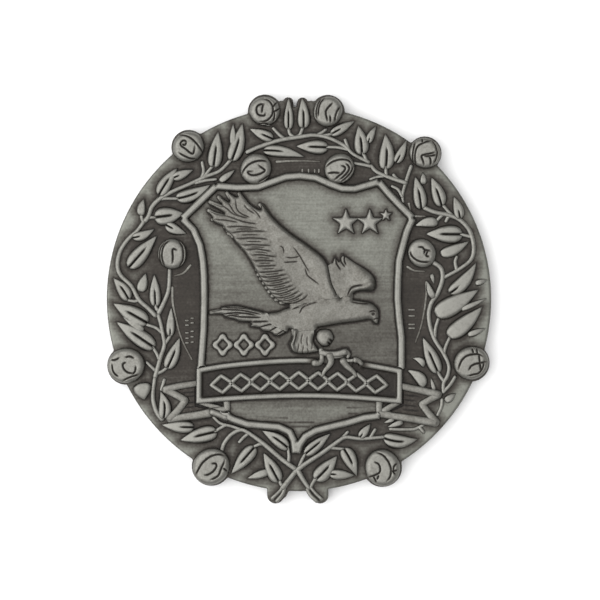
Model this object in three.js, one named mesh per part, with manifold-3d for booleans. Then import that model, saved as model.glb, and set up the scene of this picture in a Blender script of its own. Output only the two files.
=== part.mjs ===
// A cast challenge coin: a round blank with an eagle, a shield, a ribbon and a wreath of
// roses standing in relief on its face. Millimetres, +Z up. The coin lies on its back, with
// the origin at the centre of the back face and the top of the design towards +Y.
import * as THREE from "three";
import { mergeVertices } from "three/addons/utils/BufferGeometryUtils.js";
import Module from "manifold-3d";

// Driving dimensions
const coinDiameter = 50;
const blankHeight = 2.5;
const edgeChamfer = 0.25;
const fieldHeight = 0.25; // the shield's plate above the ground
const clearance = 0.08; // gap left between neighbouring motifs

const ground = blankHeight; // wreath, ribbon tails and roses stand on this level
const field = blankHeight + fieldHeight; // shield motifs stand on this level
const relief = {
  border: 0.75,
  ribbonFloor: 0.25,
  ribbonFrame: 0.7,
  tail: 0.55,
  fold: 0.45,
  leaf: 0.65,
  stem: 0.45,
  twig: 0.4,
  rose: 1.2,
  ornament: 0.4,
  wing: 0.75,
  arm: 1.15,
  body: 1.25,
  leg: 1.0,
  foot: 1.0,
  plume: 0.55,
};

const finish = {
  blank: new THREE.MeshStandardMaterial({ color: 0x6a6460, roughness: 0.5, metalness: 1 }),
  raised: new THREE.MeshStandardMaterial({ color: 0x9b958f, roughness: 0.4, metalness: 1 }),
};

const wasm = await Module();
wasm.setup();

// ---- outlines -------------------------------------------------------------------------

function smoothLine(points, perSpan = 2) {
  const curve = new THREE.SplineCurve(points.map(([x, y]) => new THREE.Vector2(x, y)));
  return curve.getPoints((points.length - 1) * perSpan).map((p) => [p.x, p.y]);
}

// A pointed oval from its stalk to its tip; bow pushes the middle to the left of that way.
function leafOutline([fromX, fromY, toX, toY, width, bow = 0]) {
  const shape = [[0, 0.22], [0.14, 0.8], [0.36, 1], [0.62, 0.76], [0.84, 0.36]];
  const length = Math.hypot(toX - fromX, toY - fromY);
  const along = [(toX - fromX) / length, (toY - fromY) / length];
  const place = (t, side) => {
    const across = side * width / 2 + 4 * bow * t * (1 - t);
    return [
      fromX + along[0] * length * t - along[1] * across,
      fromY + along[1] * length * t + along[0] * across,
    ];
  };
  const right = shape.map(([t, side]) => place(t, -side));
  const left = shape.map(([t, side]) => place(t, side)).reverse();
  return [...right, place(1, 0), ...left];
}

// A band of even width, or one that tapers, along a smooth line.
function bandOutline(points, startWidth, endWidth = startWidth, perSpan = 2) {
  const line = smoothLine(points, perSpan);
  const sides = line.map(([x, y], i) => {
    const [x0, y0] = line[Math.max(i - 1, 0)];
    const [x1, y1] = line[Math.min(i + 1, line.length - 1)];
    const length = Math.hypot(x1 - x0, y1 - y0);
    const half = THREE.MathUtils.lerp(startWidth, endWidth, i / (line.length - 1)) / 2;
    return { x, y, nx: (y1 - y0) / length * half, ny: -(x1 - x0) / length * half };
  });
  const right = sides.map((s) => [s.x + s.nx, s.y + s.ny]);
  const left = sides.map((s) => [s.x - s.nx, s.y - s.ny]).reverse();
  return [...right, ...left];
}

function starOutline(x, y, radius, points = 5, waist = 0.42) {
  return Array.from({ length: points * 2 }, (_, i) => {
    const angle = Math.PI / 2 + i * Math.PI / points;
    const reach = i % 2 ? radius * waist : radius;
    return [x + reach * Math.cos(angle), y + reach * Math.sin(angle)];
  });
}

// Moves every corner of an outline outwards by the same distance.
function outset(points, distance) {
  const loop = THREE.ShapeUtils.area(points.map(([x, y]) => ({ x, y }))) < 0
    ? [...points].reverse()
    : points;
  if (distance === 0) return loop;
  return loop.map(([x, y], i) => {
    const [xa, ya] = loop[(i + loop.length - 1) % loop.length];
    const [xb, yb] = loop[(i + 1) % loop.length];
    const before = new THREE.Vector2(y - ya, xa - x).normalize();
    const after = new THREE.Vector2(yb - y, x - xb).normalize();
    const middle = before.clone().add(after).normalize();
    const stretch = Math.min(1 / Math.max(middle.dot(after), 0.4), 2);
    return [x + middle.x * distance * stretch, y + middle.y * distance * stretch];
  });
}

// ---- solids ---------------------------------------------------------------------------

function toManifold(geometry) {
  geometry.deleteAttribute("normal");
  geometry.deleteAttribute("uv");
  const merged = mergeVertices(geometry, 1e-4);
  return new wasm.Manifold(new wasm.Mesh({
    numProp: 3,
    vertProperties: new Float32Array(merged.attributes.position.array),
    triVerts: new Uint32Array(merged.index.array),
  }));
}

function toGeometry(manifold) {
  const mesh = manifold.getMesh();
  const geometry = new THREE.BufferGeometry();
  geometry.setAttribute("position", new THREE.BufferAttribute(mesh.vertProperties, 3));
  geometry.setIndex(new THREE.BufferAttribute(mesh.triVerts, 1));
  geometry.computeVertexNormals();
  return geometry;
}

function slab(outline, bottom, top, grow = 0) {
  const shape = new THREE.Shape(outset(outline, grow).map(([x, y]) => new THREE.Vector2(x, y)));
  const geometry = new THREE.ExtrudeGeometry(shape, { depth: top - bottom, bevelEnabled: false });
  geometry.translate(0, 0, bottom);
  return toManifold(geometry);
}

// A body of revolution about a vertical axis, squeezed to an oval and turned.
function turned(profile, { x, y, bottom, stretch = 1, turn = 0, sides = 16 }) {
  const points = profile.map(([radius, z]) => new THREE.Vector2(radius, z));
  const geometry = new THREE.LatheGeometry(points, sides);
  geometry.rotateX(Math.PI / 2);
  geometry.scale(1, stretch, 1);
  geometry.rotateZ(THREE.MathUtils.degToRad(turn));
  geometry.translate(x, y, bottom);
  return toManifold(geometry);
}

function joined(solids) {
  return solids.reduce((sum, solid) => sum.add(solid));
}

// Keeps the triangles of the biggest connected piece, and drops slivers left by a cut.
function biggestPiece(geometry) {
  const index = geometry.index.array;
  const parent = Array.from({ length: geometry.attributes.position.count }, (_, i) => i);
  const root = (start) => {
    let i = start;
    while (parent[i] !== i) i = parent[i];
    parent[start] = i;
    return i;
  };
  for (let i = 0; i < index.length; i += 3) {
    parent[root(index[i])] = root(index[i + 1]);
    parent[root(index[i + 1])] = root(index[i + 2]);
  }
  const counts = new Map();
  for (let i = 0; i < index.length; i += 3) {
    const key = root(index[i]);
    counts.set(key, (counts.get(key) ?? 0) + 1);
  }
  const biggest = [...counts].sort((a, b) => b[1] - a[1])[0][0];
  const kept = [];
  for (let i = 0; i < index.length; i += 3) {
    if (root(index[i]) === biggest) kept.push(index[i], index[i + 1], index[i + 2]);
  }
  const piece = new THREE.BufferGeometry();
  piece.setAttribute("position", geometry.attributes.position);
  piece.setIndex(kept);
  return piece;
}

// ---- the blank ------------------------------------------------------------------------

const roses = [
  { x: -14.35, y: 19.75, radius: 1.95, turn: 35, lobe: 2.25 },
  { x: -4.45, y: 24.4, radius: 1.85, turn: 0, lobe: 2.2 },
  { x: -5.6, y: 16.9, radius: 1.95, turn: 35 },
  { x: -16.45, y: 5.85, radius: 1.85, turn: 90 },
  { x: 3.75, y: 24.35, radius: 1.85, turn: 60, lobe: 2.2 },
  { x: 5.25, y: 16.95, radius: 1.9, turn: 40 },
  { x: 16.35, y: 18.95, radius: 1.95, turn: 150, lobe: 2.2 },
  { x: 15.95, y: 5.95, radius: 1.8, turn: 120 },
  { x: -22.45, y: -8.65, radius: 2.3, turn: 10, lobe: 2.5 },
  { x: 22.35, y: -8.3, radius: 2.15, turn: 20, lobe: 2.45 },
  { x: -11.4, y: -21.75, radius: 2.35, turn: 40, lobe: 2.55 },
  { x: 10.85, y: -21.9, radius: 2.3, turn: 110, lobe: 2.55 },
];

// The two cut stems run off the foot of the disc, each on a rounded tongue of the blank.
const stemEnds = [
  { from: [-1.7, -23.8], to: [-3.05, -25.5], radius: 1.1 },
  { from: [1.5, -23.8], to: [2.75, -25.5], radius: 1.1 },
];

// Between the two top roses the rim steps out to carry the tips of two upright leaves.
const topStep = [
  [-3, 24], [-3, 25.8], [-1.95, 25.9], [-1.4, 26.2], [-0.85, 25.9], [-0.3, 25.7],
  [0.05, 25.85], [0.45, 26.2], [0.9, 25.85], [1.4, 25.7], [2.2, 25.8], [2.2, 24],
];

function puck(x, y, radius, sides) {
  const profile = [
    [0, 0], [radius - edgeChamfer, 0], [radius, edgeChamfer],
    [radius, blankHeight - edgeChamfer], [radius - edgeChamfer, blankHeight], [0, blankHeight],
  ];
  return turned(profile, { x, y, bottom: 0, sides });
}

function coinBlank() {
  const lobes = roses.filter((rose) => rose.lobe).map((rose) => puck(rose.x, rose.y, rose.lobe, 20));
  const tongues = stemEnds.flatMap(({ from, to, radius }) => [
    puck(...to, radius, 16),
    slab(bandOutline([from, to], 2 * radius, 2 * radius, 1), 0, blankHeight),
  ]);
  const step = slab(topStep, 0, blankHeight);
  return joined([puck(0, 0, coinDiameter / 2, 80), ...lobes, ...tongues, step]);
}

// ---- shield ---------------------------------------------------------------------------

const borderWidth = 0.85;

const shieldTop = [
  [-12.75, -8.9], [-12.4, -4], [-12.3, 0], [-12.35, 3], [-12.5, 5], [-12.85, 7], [-13.7, 9],
  [-15.1, 10.45],
];
const shieldLeftShoulder = [[-15.1, 10.45], [-13.5, 12], [-12, 13.45], [-10.7, 14.7]];
const shieldCrest = [
  [-10.7, 14.65], [-8, 14.45], [-5.3, 14.55], [-3.4, 15.25], [-1.7, 15.85], [0.2, 16],
  [2.2, 15.75], [4, 14.95], [5.6, 14.35], [7.2, 14.3], [10.35, 15.2],
];
const shieldRightShoulder = [[10.35, 15.2], [11.6, 13.75], [13.1, 12.15], [14.75, 10.5]];
const shieldRight = [
  [14.75, 10.5], [14, 8.8], [13.45, 6.8], [13, 5], [12.85, 2.5], [12.8, 0], [13, -2.5],
  [13.3, -5], [13.3, -9],
];
const shieldLowerLeft = [
  [-10.2, -14.75], [-8.6, -15.6], [-6.7, -16.25], [-4.5, -16.45], [-2.6, -16.6], [-1.2, -17.25],
  [-0.65, -18.4], [-0.45, -20],
];
const shieldLowerRight = [
  [10.5, -15.15], [8.5, -15.4], [6.5, -16], [4.2, -16.55], [2.2, -17.05], [0.8, -17.85],
  [0.05, -18.9], [-0.25, -20],
];

const fieldOutline = [
  [-13.3, -13.4], [-12.75, -8.9], ...shieldTop.slice(1), ...shieldLeftShoulder.slice(1),
  ...shieldCrest.slice(1), ...shieldRightShoulder.slice(1), ...shieldRight.slice(1),
  [13.2, -13.5], [10.5, -15.15], ...shieldLowerRight.slice(1),
  ...shieldLowerLeft.slice(0, -1).reverse(),
];

// ---- ribbon ---------------------------------------------------------------------------

const panelTop = [
  [-13.35, -8.95], [-10, -8.35], [-5, -7.85], [0, -7.6], [5, -7.8], [9, -8.2], [13.45, -9.05],
];
const panelBottom = [
  [13.4, -13.65], [10, -13.35], [5, -13], [0, -12.9], [-5, -13.05], [-10, -13.35], [-13.4, -13.65],
];
const panelInset = 0.62; // width of the raised frame round the ribbon's panel

const foldLeft = [[-13.3, -13.75], [-9.05, -13.5], [-9.05, -14.7], [-10.4, -14.6], [-11.2, -14.25]];
const foldRight = [[13.2, -13.75], [11.5, -14.75], [10.2, -15], [10.15, -13.5]];
const tailLeft = [
  [-13.5, -10.75], [-17.65, -11.45], [-17.75, -11.9], [-14.4, -13.1], [-17.05, -15.35],
  [-16.9, -15.85], [-13.5, -15.85], [-11.8, -15.5], [-10.9, -15], [-11.6, -14.35], [-13.5, -13.95],
];
const tailRight = [
  [13.55, -11.05], [18.2, -12], [18.6, -12.5], [18.1, -12.85], [15.65, -13.7], [18.15, -15.75],
  [18.05, -16.4], [17, -16.35], [14, -15.75], [10.8, -15.35], [11.9, -14.65], [13.55, -13.9],
];

function panelSolid(grow = 0) {
  const outer = [...smoothLine(panelTop), ...smoothLine(panelBottom)];
  const frame = slab(outer, field, field + relief.ribbonFrame, grow);
  if (grow) return frame;
  const inner = outset(outer, -panelInset);
  return frame.subtract(slab(inner, field + relief.ribbonFloor, field + 2));
}

// A chain of open lozenges, each lapping over the point of the next.
const chain = { links: 9, pitch: 2.5, lap: 0.25, halfHeight: 1.2, line: 0.5, middle: -10.6, arch: 0.0045 };

function lozenge(x, y, halfWidth, halfHeight) {
  return [[x - halfWidth, y], [x, y - halfHeight], [x + halfWidth, y], [x, y + halfHeight]];
}

function ribbonChain() {
  const bottom = field + relief.ribbonFloor;
  const top = bottom + relief.ornament;
  const reach = chain.pitch / 2 + chain.lap;
  const links = Array.from({ length: chain.links }, (_, i) => {
    const x = (i - (chain.links - 1) / 2) * chain.pitch;
    const y = chain.middle - chain.arch * x * x;
    const link = slab(lozenge(x, y, reach, chain.halfHeight), bottom, top);
    const hole = lozenge(x, y, reach - chain.line * 1.4, chain.halfHeight - chain.line);
    return link.subtract(slab(hole, bottom - 1, top + 1));
  });
  return joined(links);
}

// ---- eagle ----------------------------------------------------------------------------

const nearWing = [
  [5.1, 0.4], [4.2, 2.1], [3.85, 4.4], [3.1, 5.5], [1.2, 7], [-1, 8.45], [-2.6, 9.8], [-3.8, 11.1],
  [-4.5, 12.15], [-5.15, 12.5], [-4.85, 11.5], [-5.8, 11.95], [-6.6, 12.6], [-7.2, 13.5],
  [-7.8, 14], [-7.95, 13.15], [-8.6, 13.55], [-9.4, 14], [-9.25, 13.2], [-8.85, 12.45],
  [-9.9, 13.1], [-10.6, 13.5], [-10.3, 12.7], [-9.9, 12.1], [-10.8, 12.4], [-11.75, 12.7],
  [-11.5, 12.2], [-9.3, 10.95], [-10.6, 11.15], [-11.9, 11.6], [-11.7, 11.1], [-11.2, 10.6],
  [-11.4, 10.25], [-10.8, 9.8], [-9.8, 9.45], [-9.6, 8.9], [-8.8, 8.3], [-8.3, 7.4], [-7.3, 6.4],
  [-6.4, 5.1], [-5.7, 3.8], [-4.9, 2.4], [-4.1, 1.2], [-3.2, 0.05], [-1.8, -0.8], [1.5, -0.6],
];
const wingArm = [
  [5.1, 0.4], [4.2, 2.1], [3.85, 4.4], [3.1, 5.5], [1.2, 7], [-1, 8.45], [-2.6, 9.8], [-3.8, 11.1],
  [-4.6, 11.9], [-5, 10.8], [-3.9, 9.2], [-2.2, 7.7], [-0.5, 6.3], [0.6, 4.6], [1.2, 3],
  [2.6, 1.6], [3.2, 0.2],
];
const farWing = [
  [5.75, 0.3], [4.75, 1.5], [4.3, 2.8], [4.25, 4.3], [4.65, 5.6], [5.25, 4.6], [5.6, 5.9],
  [7, 4.85], [9, 3.7], [9.9, 2.7], [10, 1.6], [9.6, 1], [7.8, 1.05], [7.1, 0.75], [6.7, 0.1],
];
const bodyOutline = [
  [-1.7, -1.1], [1.4, -0.75], [3.2, 0], [5.3, 0.2], [7.5, -0.1], [9.5, -0.45], [10.35, -1.3],
  [10.45, -2.2], [10.3, -3.3], [9.75, -3.2], [9.4, -2.6], [7.5, -2.95], [5.5, -3.2], [2.2, -3.75],
  [-1.2, -4.05], [-3.4, -3.2], [-4.2, -1.8], [-2.6, -1.6],
];
const tailPlumes = [
  [-4.25, -1.75], [-6, -1.3], [-8, -0.8], [-10.1, -1], [-10.2, -1.3], [-11.8, -1.6],
  [-11.7, -1.95], [-9.9, -2], [-9.7, -2.35], [-8.1, -2.75], [-7.8, -2.95], [-6, -3.1],
  [-6.5, -3.6], [-5, -3.8], [-4.8, -4.2], [-3.6, -4.3], [-3.3, -4.75], [-2.5, -4.85], [-1.4, -4.2],
  [-3.5, -3.3],
];
const nearLeg = [
  [-0.7, -4.15], [-0.95, -5.1], [-1.4, -5.8], [-0.9, -6.9], [0, -7.15], [1.4, -7.1], [2.8, -6.85],
  [2.2, -6.1], [1.8, -5.4], [2.1, -4.3], [2.15, -3.9],
];
const farThigh = [
  [2.8, -4.05], [4, -4.05], [4.45, -5.1], [3.8, -6], [3.05, -6.05], [2.35, -5.2], [2.4, -4.45],
];
const footOutline = [
  [2.95, -6.75], [4.6, -6.75], [5.6, -6.4], [6.3, -6.3], [6.7, -6.9], [6.5, -7.7], [7.5, -7.65],
  [8.1, -8.2], [7.8, -8.65], [7, -8.3], [7.2, -9.6], [6.4, -9.3], [5.7, -8.4], [5.4, -7.9],
  [4.5, -7.95], [4.5, -8.8], [3.5, -9.8], [3.1, -9.7], [3.4, -8.5], [2.4, -8.6], [1.8, -8.7],
  [1.8, -8], [2.8, -7.75],
];

// ---- wreath ---------------------------------------------------------------------------

const stemWidth = 0.4; // where a stem ends and its twigs begin
const twigWidth = 0.34;

// Each sprig is one run of stem with its twigs, then its leaves as
// [stalk x, stalk y, tip x, tip y, width, bow].
const sprigs = {
  sprig_foot_right: {
    width: 0.75,
    stems: [
      [[-3.1, -26], [-2.3, -24.9], [-1.3, -23.5], [-0.3, -22.3], [1, -21.3], [3, -20], [5, -18.55],
        [6.1, -17.95], [8, -18.15], [11, -17.95]],
      [[0, -21.9], [0.35, -21], [0.8, -20.1]],
      [[5.4, -18.3], [5.9, -17.75], [6.35, -17.25]],
      [[9.2, -18.15], [9.5, -17.6], [9.9, -16.95]],
      [[3.9, -19.3], [4.7, -19.4], [5.75, -19.5]],
      [[-2, -24.5], [-2.4, -24], [-2.5, -23.6]],
    ],
    leaves: [
      [0.75, -20.2, 4.1, -17.45, 1.6], [5.8, -19.4, 7.5, -22.95, 1.9, 0.15],
      [11, -18.05, 15.4, -18.2, 1.9, -0.4], [-2.6, -23.75, -4.6, -20, 1.9],
      [-3.9, -22.4, -6.7, -23.3, 1.1],
    ],
  },
  sprig_foot_left: {
    width: 0.7,
    stems: [
      [[-0.95, -21.7], [-2.2, -20.85], [-3.9, -19.4], [-5, -18.5], [-6.7, -17.3], [-7.6, -17],
        [-8.8, -17.6], [-9.7, -18.7], [-10.05, -19.7]],
      [[-1.4, -21.3], [-1.3, -20.5], [-1.4, -19.4]],
      [[-4.2, -19], [-5, -18.85], [-5.8, -19.15]],
      [[-6.5, -17.4], [-7.2, -18], [-7.75, -18.6]],
      [[-7.4, -17], [-9.3, -16.4], [-10.1, -16.7], [-10.9, -17.2]],
      [[-9.4, -16.4], [-10.3, -16.1], [-11.1, -15.35]],
    ],
    leaves: [
      [-1.35, -19.4, -4.8, -17.1, 1.75, -0.15], [-5.75, -19.2, -8.8, -22.7, 1.9],
      [-10.7, -17.2, -15.4, -18.35, 2.1],
    ],
  },
  stem_end: {
    width: 0.85,
    stems: [
      [[0.25, -22.85], [1.1, -24.2], [2, -25.3], [2.65, -26]],
      [[2.2, -23.3], [1.8, -23.9], [1.5, -24.5]],
    ],
    leaves: [[2.15, -23.5, 4.95, -20.4, 2.1, -0.1], [4, -22.75, 7.2, -22.9, 1.2]],
  },
  sprig_left_foot: {
    width: 0.42,
    stems: [[[-17.8, -15.6], [-18.5, -14.7], [-18.95, -13.2], [-18.95, -11.8], [-18.75, -10.3]]],
    leaves: [[-17.6, -15.55, -18, -12, 1.7, -0.35], [-20.15, -10.9, -20.1, -13.1, 2.5]],
  },
  sprig_left_side: {
    width: 0.42,
    stems: [
      [[-18.7, -10.05], [-18.4, -9], [-18, -7.6], [-17.5, -6], [-17.65, -4.8], [-17.95, -3.3],
        [-18.3, -2.1]],
      [[-18.55, -9.4], [-19.2, -8.8], [-19.8, -8.25]],
      [[-18.5, -9.7], [-17.8, -9.4], [-17.2, -8.95]],
      [[-18.15, -7.9], [-18.5, -7.1], [-19, -6.3]],
      [[-17.5, -5.9], [-17, -5.2], [-16.7, -4.7]],
      [[-17.8, -4.4], [-18.6, -3.75], [-19.9, -3.3]],
    ],
    leaves: [
      [-17.15, -9.05, -15.5, -5, 1.75, -0.1], [-18.8, -6.3, -23.7, -3, 2.2],
      [-16.75, -4.85, -16.6, -1.1, 1.1], [-19.7, -3.1, -24.1, -0.6, 2.3],
    ],
  },
  sprig_left_rose: {
    width: 0.42,
    stems: [
      [[-18.2, -1.75], [-17.5, -0.3], [-17, 1], [-16.85, 2.4], [-16.8, 3.8]],
      [[-18.15, -1.6], [-18.5, -1.3], [-18.65, -0.8]],
    ],
    leaves: [[-18.65, -0.95, -18.8, 3.2, 1.4]],
  },
  sprig_left_outer: {
    width: 0.42,
    stems: [
      [[-18.7, -2.15], [-19.6, -1.2], [-20.8, -0.1], [-21.8, 1.7], [-23.2, 3.1], [-23.6, 4.5],
        [-23.2, 6.3], [-22.2, 7.8], [-21, 8.9], [-20.2, 10]],
      [[-20.9, -0.15], [-21.4, -0.3], [-22.2, -0.15]],
      [[-20.2, 10], [-20.4, 10.4], [-20.5, 11]],
    ],
    leaves: [
      [-22.1, -0.1, -24.1, 2.7, 1.7, -0.15], [-21.6, 7.95, -18.8, 9.1, 1, -0.2],
      [-20.55, 10.85, -20.15, 13, 1.15, 0.1],
    ],
  },
  sprig_left_shoulder: {
    width: 0.42,
    stems: [
      [[-19.95, 10.2], [-19.55, 10.8], [-19.1, 12], [-18, 13.1], [-16.2, 14.1], [-14.2, 14.95],
        [-12.2, 15.9], [-10.3, 16.65], [-8.75, 18.3]],
      [[-19.7, 10.5], [-19.3, 10.6], [-18.7, 10.6]],
      [[-18.3, 13], [-17.3, 13.05], [-15.8, 13.05]],
      [[-12.9, 15.3], [-12.4, 16.5], [-12.6, 17.8]],
      [[-12.3, 15.9], [-11.8, 16.6], [-11.2, 17.3]],
      [[-13.4, 15.1], [-12.2, 15.4], [-10.8, 15.55]],
    ],
    leaves: [
      [-18.75, 10.6, -14.9, 11.1, 2.3], [-18.2, 13.5, -15.85, 17, 1.75, 0.1],
      [-16.4, 15.7, -13.75, 16.8, 1.15], [-15.9, 13.05, -11.5, 14.85, 1.8, -0.3],
      [-11.1, 17.1, -10.5, 21.7, 1.95], [-8.75, 17.95, -7.35, 22.8, 2, -0.15],
      [-8.6, 20, -8.55, 22.75, 0.9],
    ],
  },
  sprig_crown: {
    width: 0.42,
    stems: [
      [[-6.7, 19.1], [-5, 19.85], [-2.5, 20.65], [0, 21.05], [2, 21.3], [4, 20.9], [6, 19.85],
        [7, 18.85], [9.05, 17.8]],
      [[-2, 20.9], [-2.7, 21.5], [-3.35, 22.2]],
      [[-0.6, 21], [-1.2, 21.5], [-1.35, 22.2]],
      [[-0.6, 21], [0.1, 21.35], [0.5, 22.3]],
      [[2.3, 21.3], [2.9, 21.6], [3.5, 22.05]],
      [[2.6, 21.2], [3.5, 21.3], [4.3, 21.5]],
      [[6.4, 19.4], [5, 19.7], [3.7, 19.75]],
      [[6.5, 19.3], [6.25, 20], [6, 20.7]],
      [[8.8, 17.9], [8.6, 18.4], [8.3, 19]],
      [[-2.9, 20.5], [-3.2, 20.6], [-3.5, 20.8]],
    ],
    leaves: [
      [-3.4, 20.8, -6.4, 22.1, 1.25], [-1.35, 22.05, -1.35, 26.05, 1.35],
      [0.6, 22.2, 0.4, 26.05, 1.7, -0.1], [3.75, 19.7, -0.35, 19.85, 1.85],
      [4.15, 21.4, 7.2, 23.1, 1.15], [8.2, 18.8, 7.7, 22.5, 1.95, -0.1],
      [9, 20.3, 10, 22.4, 0.85, 0.1],
    ],
  },
  sprig_right_crown: {
    width: 0.42,
    stems: [
      [[13.85, 15.1], [12.6, 15.5], [11.2, 16], [10, 16.6], [9.4, 17.3]],
      [[9.5, 17.2], [8.4, 17.45], [7.2, 17.65]],
      [[11.2, 16], [10.2, 15.85], [9.3, 15.55]],
      [[11.4, 15.9], [11.3, 16.5], [11.3, 17.2]],
      [[13, 15.4], [12.6, 15.75], [12.3, 16.15]],
      [[14.6, 17.3], [14.2, 16.2], [13.8, 14.9], [13.45, 13.6], [13.5, 12.6]],
      [[13.4, 13.3], [12.9, 14.2], [12.1, 14.65]],
    ],
    leaves: [[11.25, 16.85, 11.2, 21.4, 2.1, -0.2], [12.35, 17.7, 13.95, 20.5, 1.2, -0.1]],
  },
  sprig_right_outer: {
    width: 0.42,
    stems: [
      [[15.95, 12], [17.6, 11.3], [19.5, 10.9], [21, 10.2], [22.2, 8.8], [22.7, 6.8], [22.4, 5.2],
        [21, 4], [18.95, 2.85]],
      [[20, 10.8], [19.4, 11.4], [18.55, 12.4]],
      [[18.7, 11], [18.3, 10.6], [17.9, 10.2]],
      [[19.6, 10.9], [19.3, 10.5], [19.1, 10.1]],
      [[22.35, 8.1], [21.9, 8.2], [21.1, 8.4]],
      [[20.5, 3.8], [20.3, 4.8], [20.5, 5.5]],
    ],
    leaves: [
      [15.9, 11.7, 15.1, 15.9, 1.8, -0.1], [18.55, 12.1, 17.2, 15.8, 1.8, -0.1],
      [20.9, 10.5, 20.2, 13.1, 1, -0.1], [18, 10, 15.05, 9.5, 1.4, -0.2],
      [21.2, 8.4, 16.5, 8.45, 2.3],
    ],
  },
  sprig_right_side: {
    width: 0.42,
    stems: [
      [[17.4, 4.8], [18.45, 4], [18.65, 2.6], [18, 0.7], [17.2, -0.5], [16.85, -2], [17.1, -3.8],
        [17.7, -5.4], [18.8, -7.1], [19.5, -8.7], [19.3, -10], [18.8, -10.9], [18.75, -12]],
      [[17.65, -4.9], [17.75, -3.8], [18.3, -2.1]],
      [[18.85, -7], [19.1, -6.1], [19.6, -5]],
      [[18.75, -10.6], [18.4, -10.1], [18.05, -9.5]],
      [[18.75, -12.1], [19.6, -11.2], [20.3, -10.1]],
    ],
    leaves: [
      [17.5, 0.1, 16.65, 2.35, 0.95, 0.1], [17.75, -2, 23.3, 1.2, 2.5, -0.1],
      [19.4, -4.85, 23.8, -1, 2.2, -0.2], [18.1, -9.6, 16.1, -5, 1.9],
    ],
  },
};

// Leaves that show no stem of their own: their stalks pass behind what is in front.
const looseLeaves = {
  leaf_left_broad: [-22.1, 4.1, -18.5, 8.2, 2.1],
  leaf_left_small: [-20.6, 1, -19.95, 3.3, 1],
  leaf_left_fold: [-13.8, -16.65, -17.8, -16.35, 1.35, 0.1],
  leaf_crown_long: [-4.5, 19.35, 0.6, 18.5, 1.1, 0.2],
  leaf_crown_small: [-10.3, 15.25, -8.3, 16.8, 0.95],
  leaf_right_curved: [21.95, 7.3, 18.5, 5.8, 0.95, -0.2],
  leaf_right_broad: [19.6, 0.75, 23, 4.7, 1.8, -0.4],
  leaf_right_lower: [16.4, -11.3, 14.1, -9.25, 1.5, -0.35],
  leaf_right_foot: [13.5, -16, 11.6, -16.65, 0.75],
  leaf_foot_small: [7.9, -18, 9.25, -16.3, 0.95],
};

function sprigSolid({ width, stems, leaves }, grow = 0) {
  const [main, ...twigs] = stems;
  const stand = (outline, height) => slab(outline, ground, ground + height, grow);
  return joined([
    stand(bandOutline(main, width, stemWidth, 1), relief.stem),
    ...twigs.map((twig) => stand(bandOutline(twig, stemWidth, twigWidth, 1), relief.twig)),
    ...leaves.map((leaf) => stand(leafOutline(leaf), relief.leaf)),
  ]);
}

function roseSolid({ x, y, radius, turn }, grow = 0) {
  const r = radius + grow;
  const h = relief.rose;
  const profile = [
    [0, 0], [r, 0], [r * 0.97, h * 0.4], [r * 0.8, h * 0.7], [r * 0.66, h * 0.62], [r * 0.5, h * 0.88],
    [0, h],
  ];
  return turned(profile, { x, y, bottom: ground, stretch: 0.93, turn, sides: 14 });
}

// A four-lobed ring.
function rosette(x, y) {
  const lobed = (radius, swell, corners) => Array.from({ length: corners }, (_, i) => {
    const angle = i / corners * 2 * Math.PI;
    const reach = radius + swell * Math.cos(4 * angle);
    return [x + reach * Math.cos(angle), y + 1.1 * reach * Math.sin(angle)];
  });
  const ring = slab(lobed(1.15, 0.22, 24), field, field + relief.ornament);
  return ring.subtract(slab(lobed(0.58, 0.12, 12), field - 1, field + 2));
}

// ---- assembly -------------------------------------------------------------------------

// Every motif, the ones in front first: each later one is cut back to clear those before it.
const border = (...runs) => (grow = 0) => joined(runs.map((run) => (
  slab(bandOutline(run, borderWidth, borderWidth, 1), ground, field + relief.border, grow))));
const borderUpper = border(shieldTop, shieldLeftShoulder, shieldCrest, shieldRightShoulder, shieldRight);
const borderLower = border(shieldLowerLeft, shieldLowerRight);

function wingSolid(grow = 0) {
  return joined([
    slab(nearWing, field, field + relief.wing, grow),
    slab(wingArm, field, field + relief.arm, grow),
  ]);
}

const simple = (outline, bottom, height) => (grow = 0) => slab(outline, bottom, bottom + height, grow);

const motifs = [
  ["eagle_foot", simple(footOutline, field, relief.foot)],
  ["banner_panel", panelSolid],
  ["banner_fold_left", simple(foldLeft, ground, relief.fold + fieldHeight)],
  ["banner_fold_right", simple(foldRight, ground, relief.fold + fieldHeight)],
  ["shield_border_upper", borderUpper],
  ["shield_border_lower", borderLower],
  ["banner_tail_left", simple(tailLeft, ground, relief.tail)],
  ["banner_tail_right", simple(tailRight, ground, relief.tail)],
  ["eagle_near_leg", simple(nearLeg, field, relief.leg)],
  ["eagle_far_thigh", simple(farThigh, field, relief.leg - 0.2)],
  ["eagle_body", simple(bodyOutline, field, relief.body)],
  ["eagle_near_wing", wingSolid],
  ["eagle_far_wing", simple(farWing, field, relief.wing)],
  ["eagle_tail", simple(tailPlumes, field, relief.plume)],
  ...roses.map((rose, i) => [
    `rose_${String(i + 1).padStart(2, "0")}`, (grow = 0) => roseSolid(rose, grow),
  ]),
  ...Object.entries(sprigs).map(([name, sprig]) => [name, (grow = 0) => sprigSolid(sprig, grow)]),
  ...Object.entries(looseLeaves).map(([name, leaf]) => [
    name, simple(leafOutline(leaf), ground, relief.leaf),
  ]),
];

function boxesMeet(a, b) {
  const [p, q] = [a.boundingBox(), b.boundingBox()];
  return [0, 1, 2].every((axis) => p.min[axis] < q.max[axis] && q.min[axis] < p.max[axis]);
}

const coin = new THREE.Group();

function addNode(name, manifold, material) {
  const mesh = new THREE.Mesh(biggestPiece(toGeometry(manifold)), material);
  mesh.name = name;
  coin.add(mesh);
}

addNode("coin_blank", coinBlank(), finish.blank);

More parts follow.
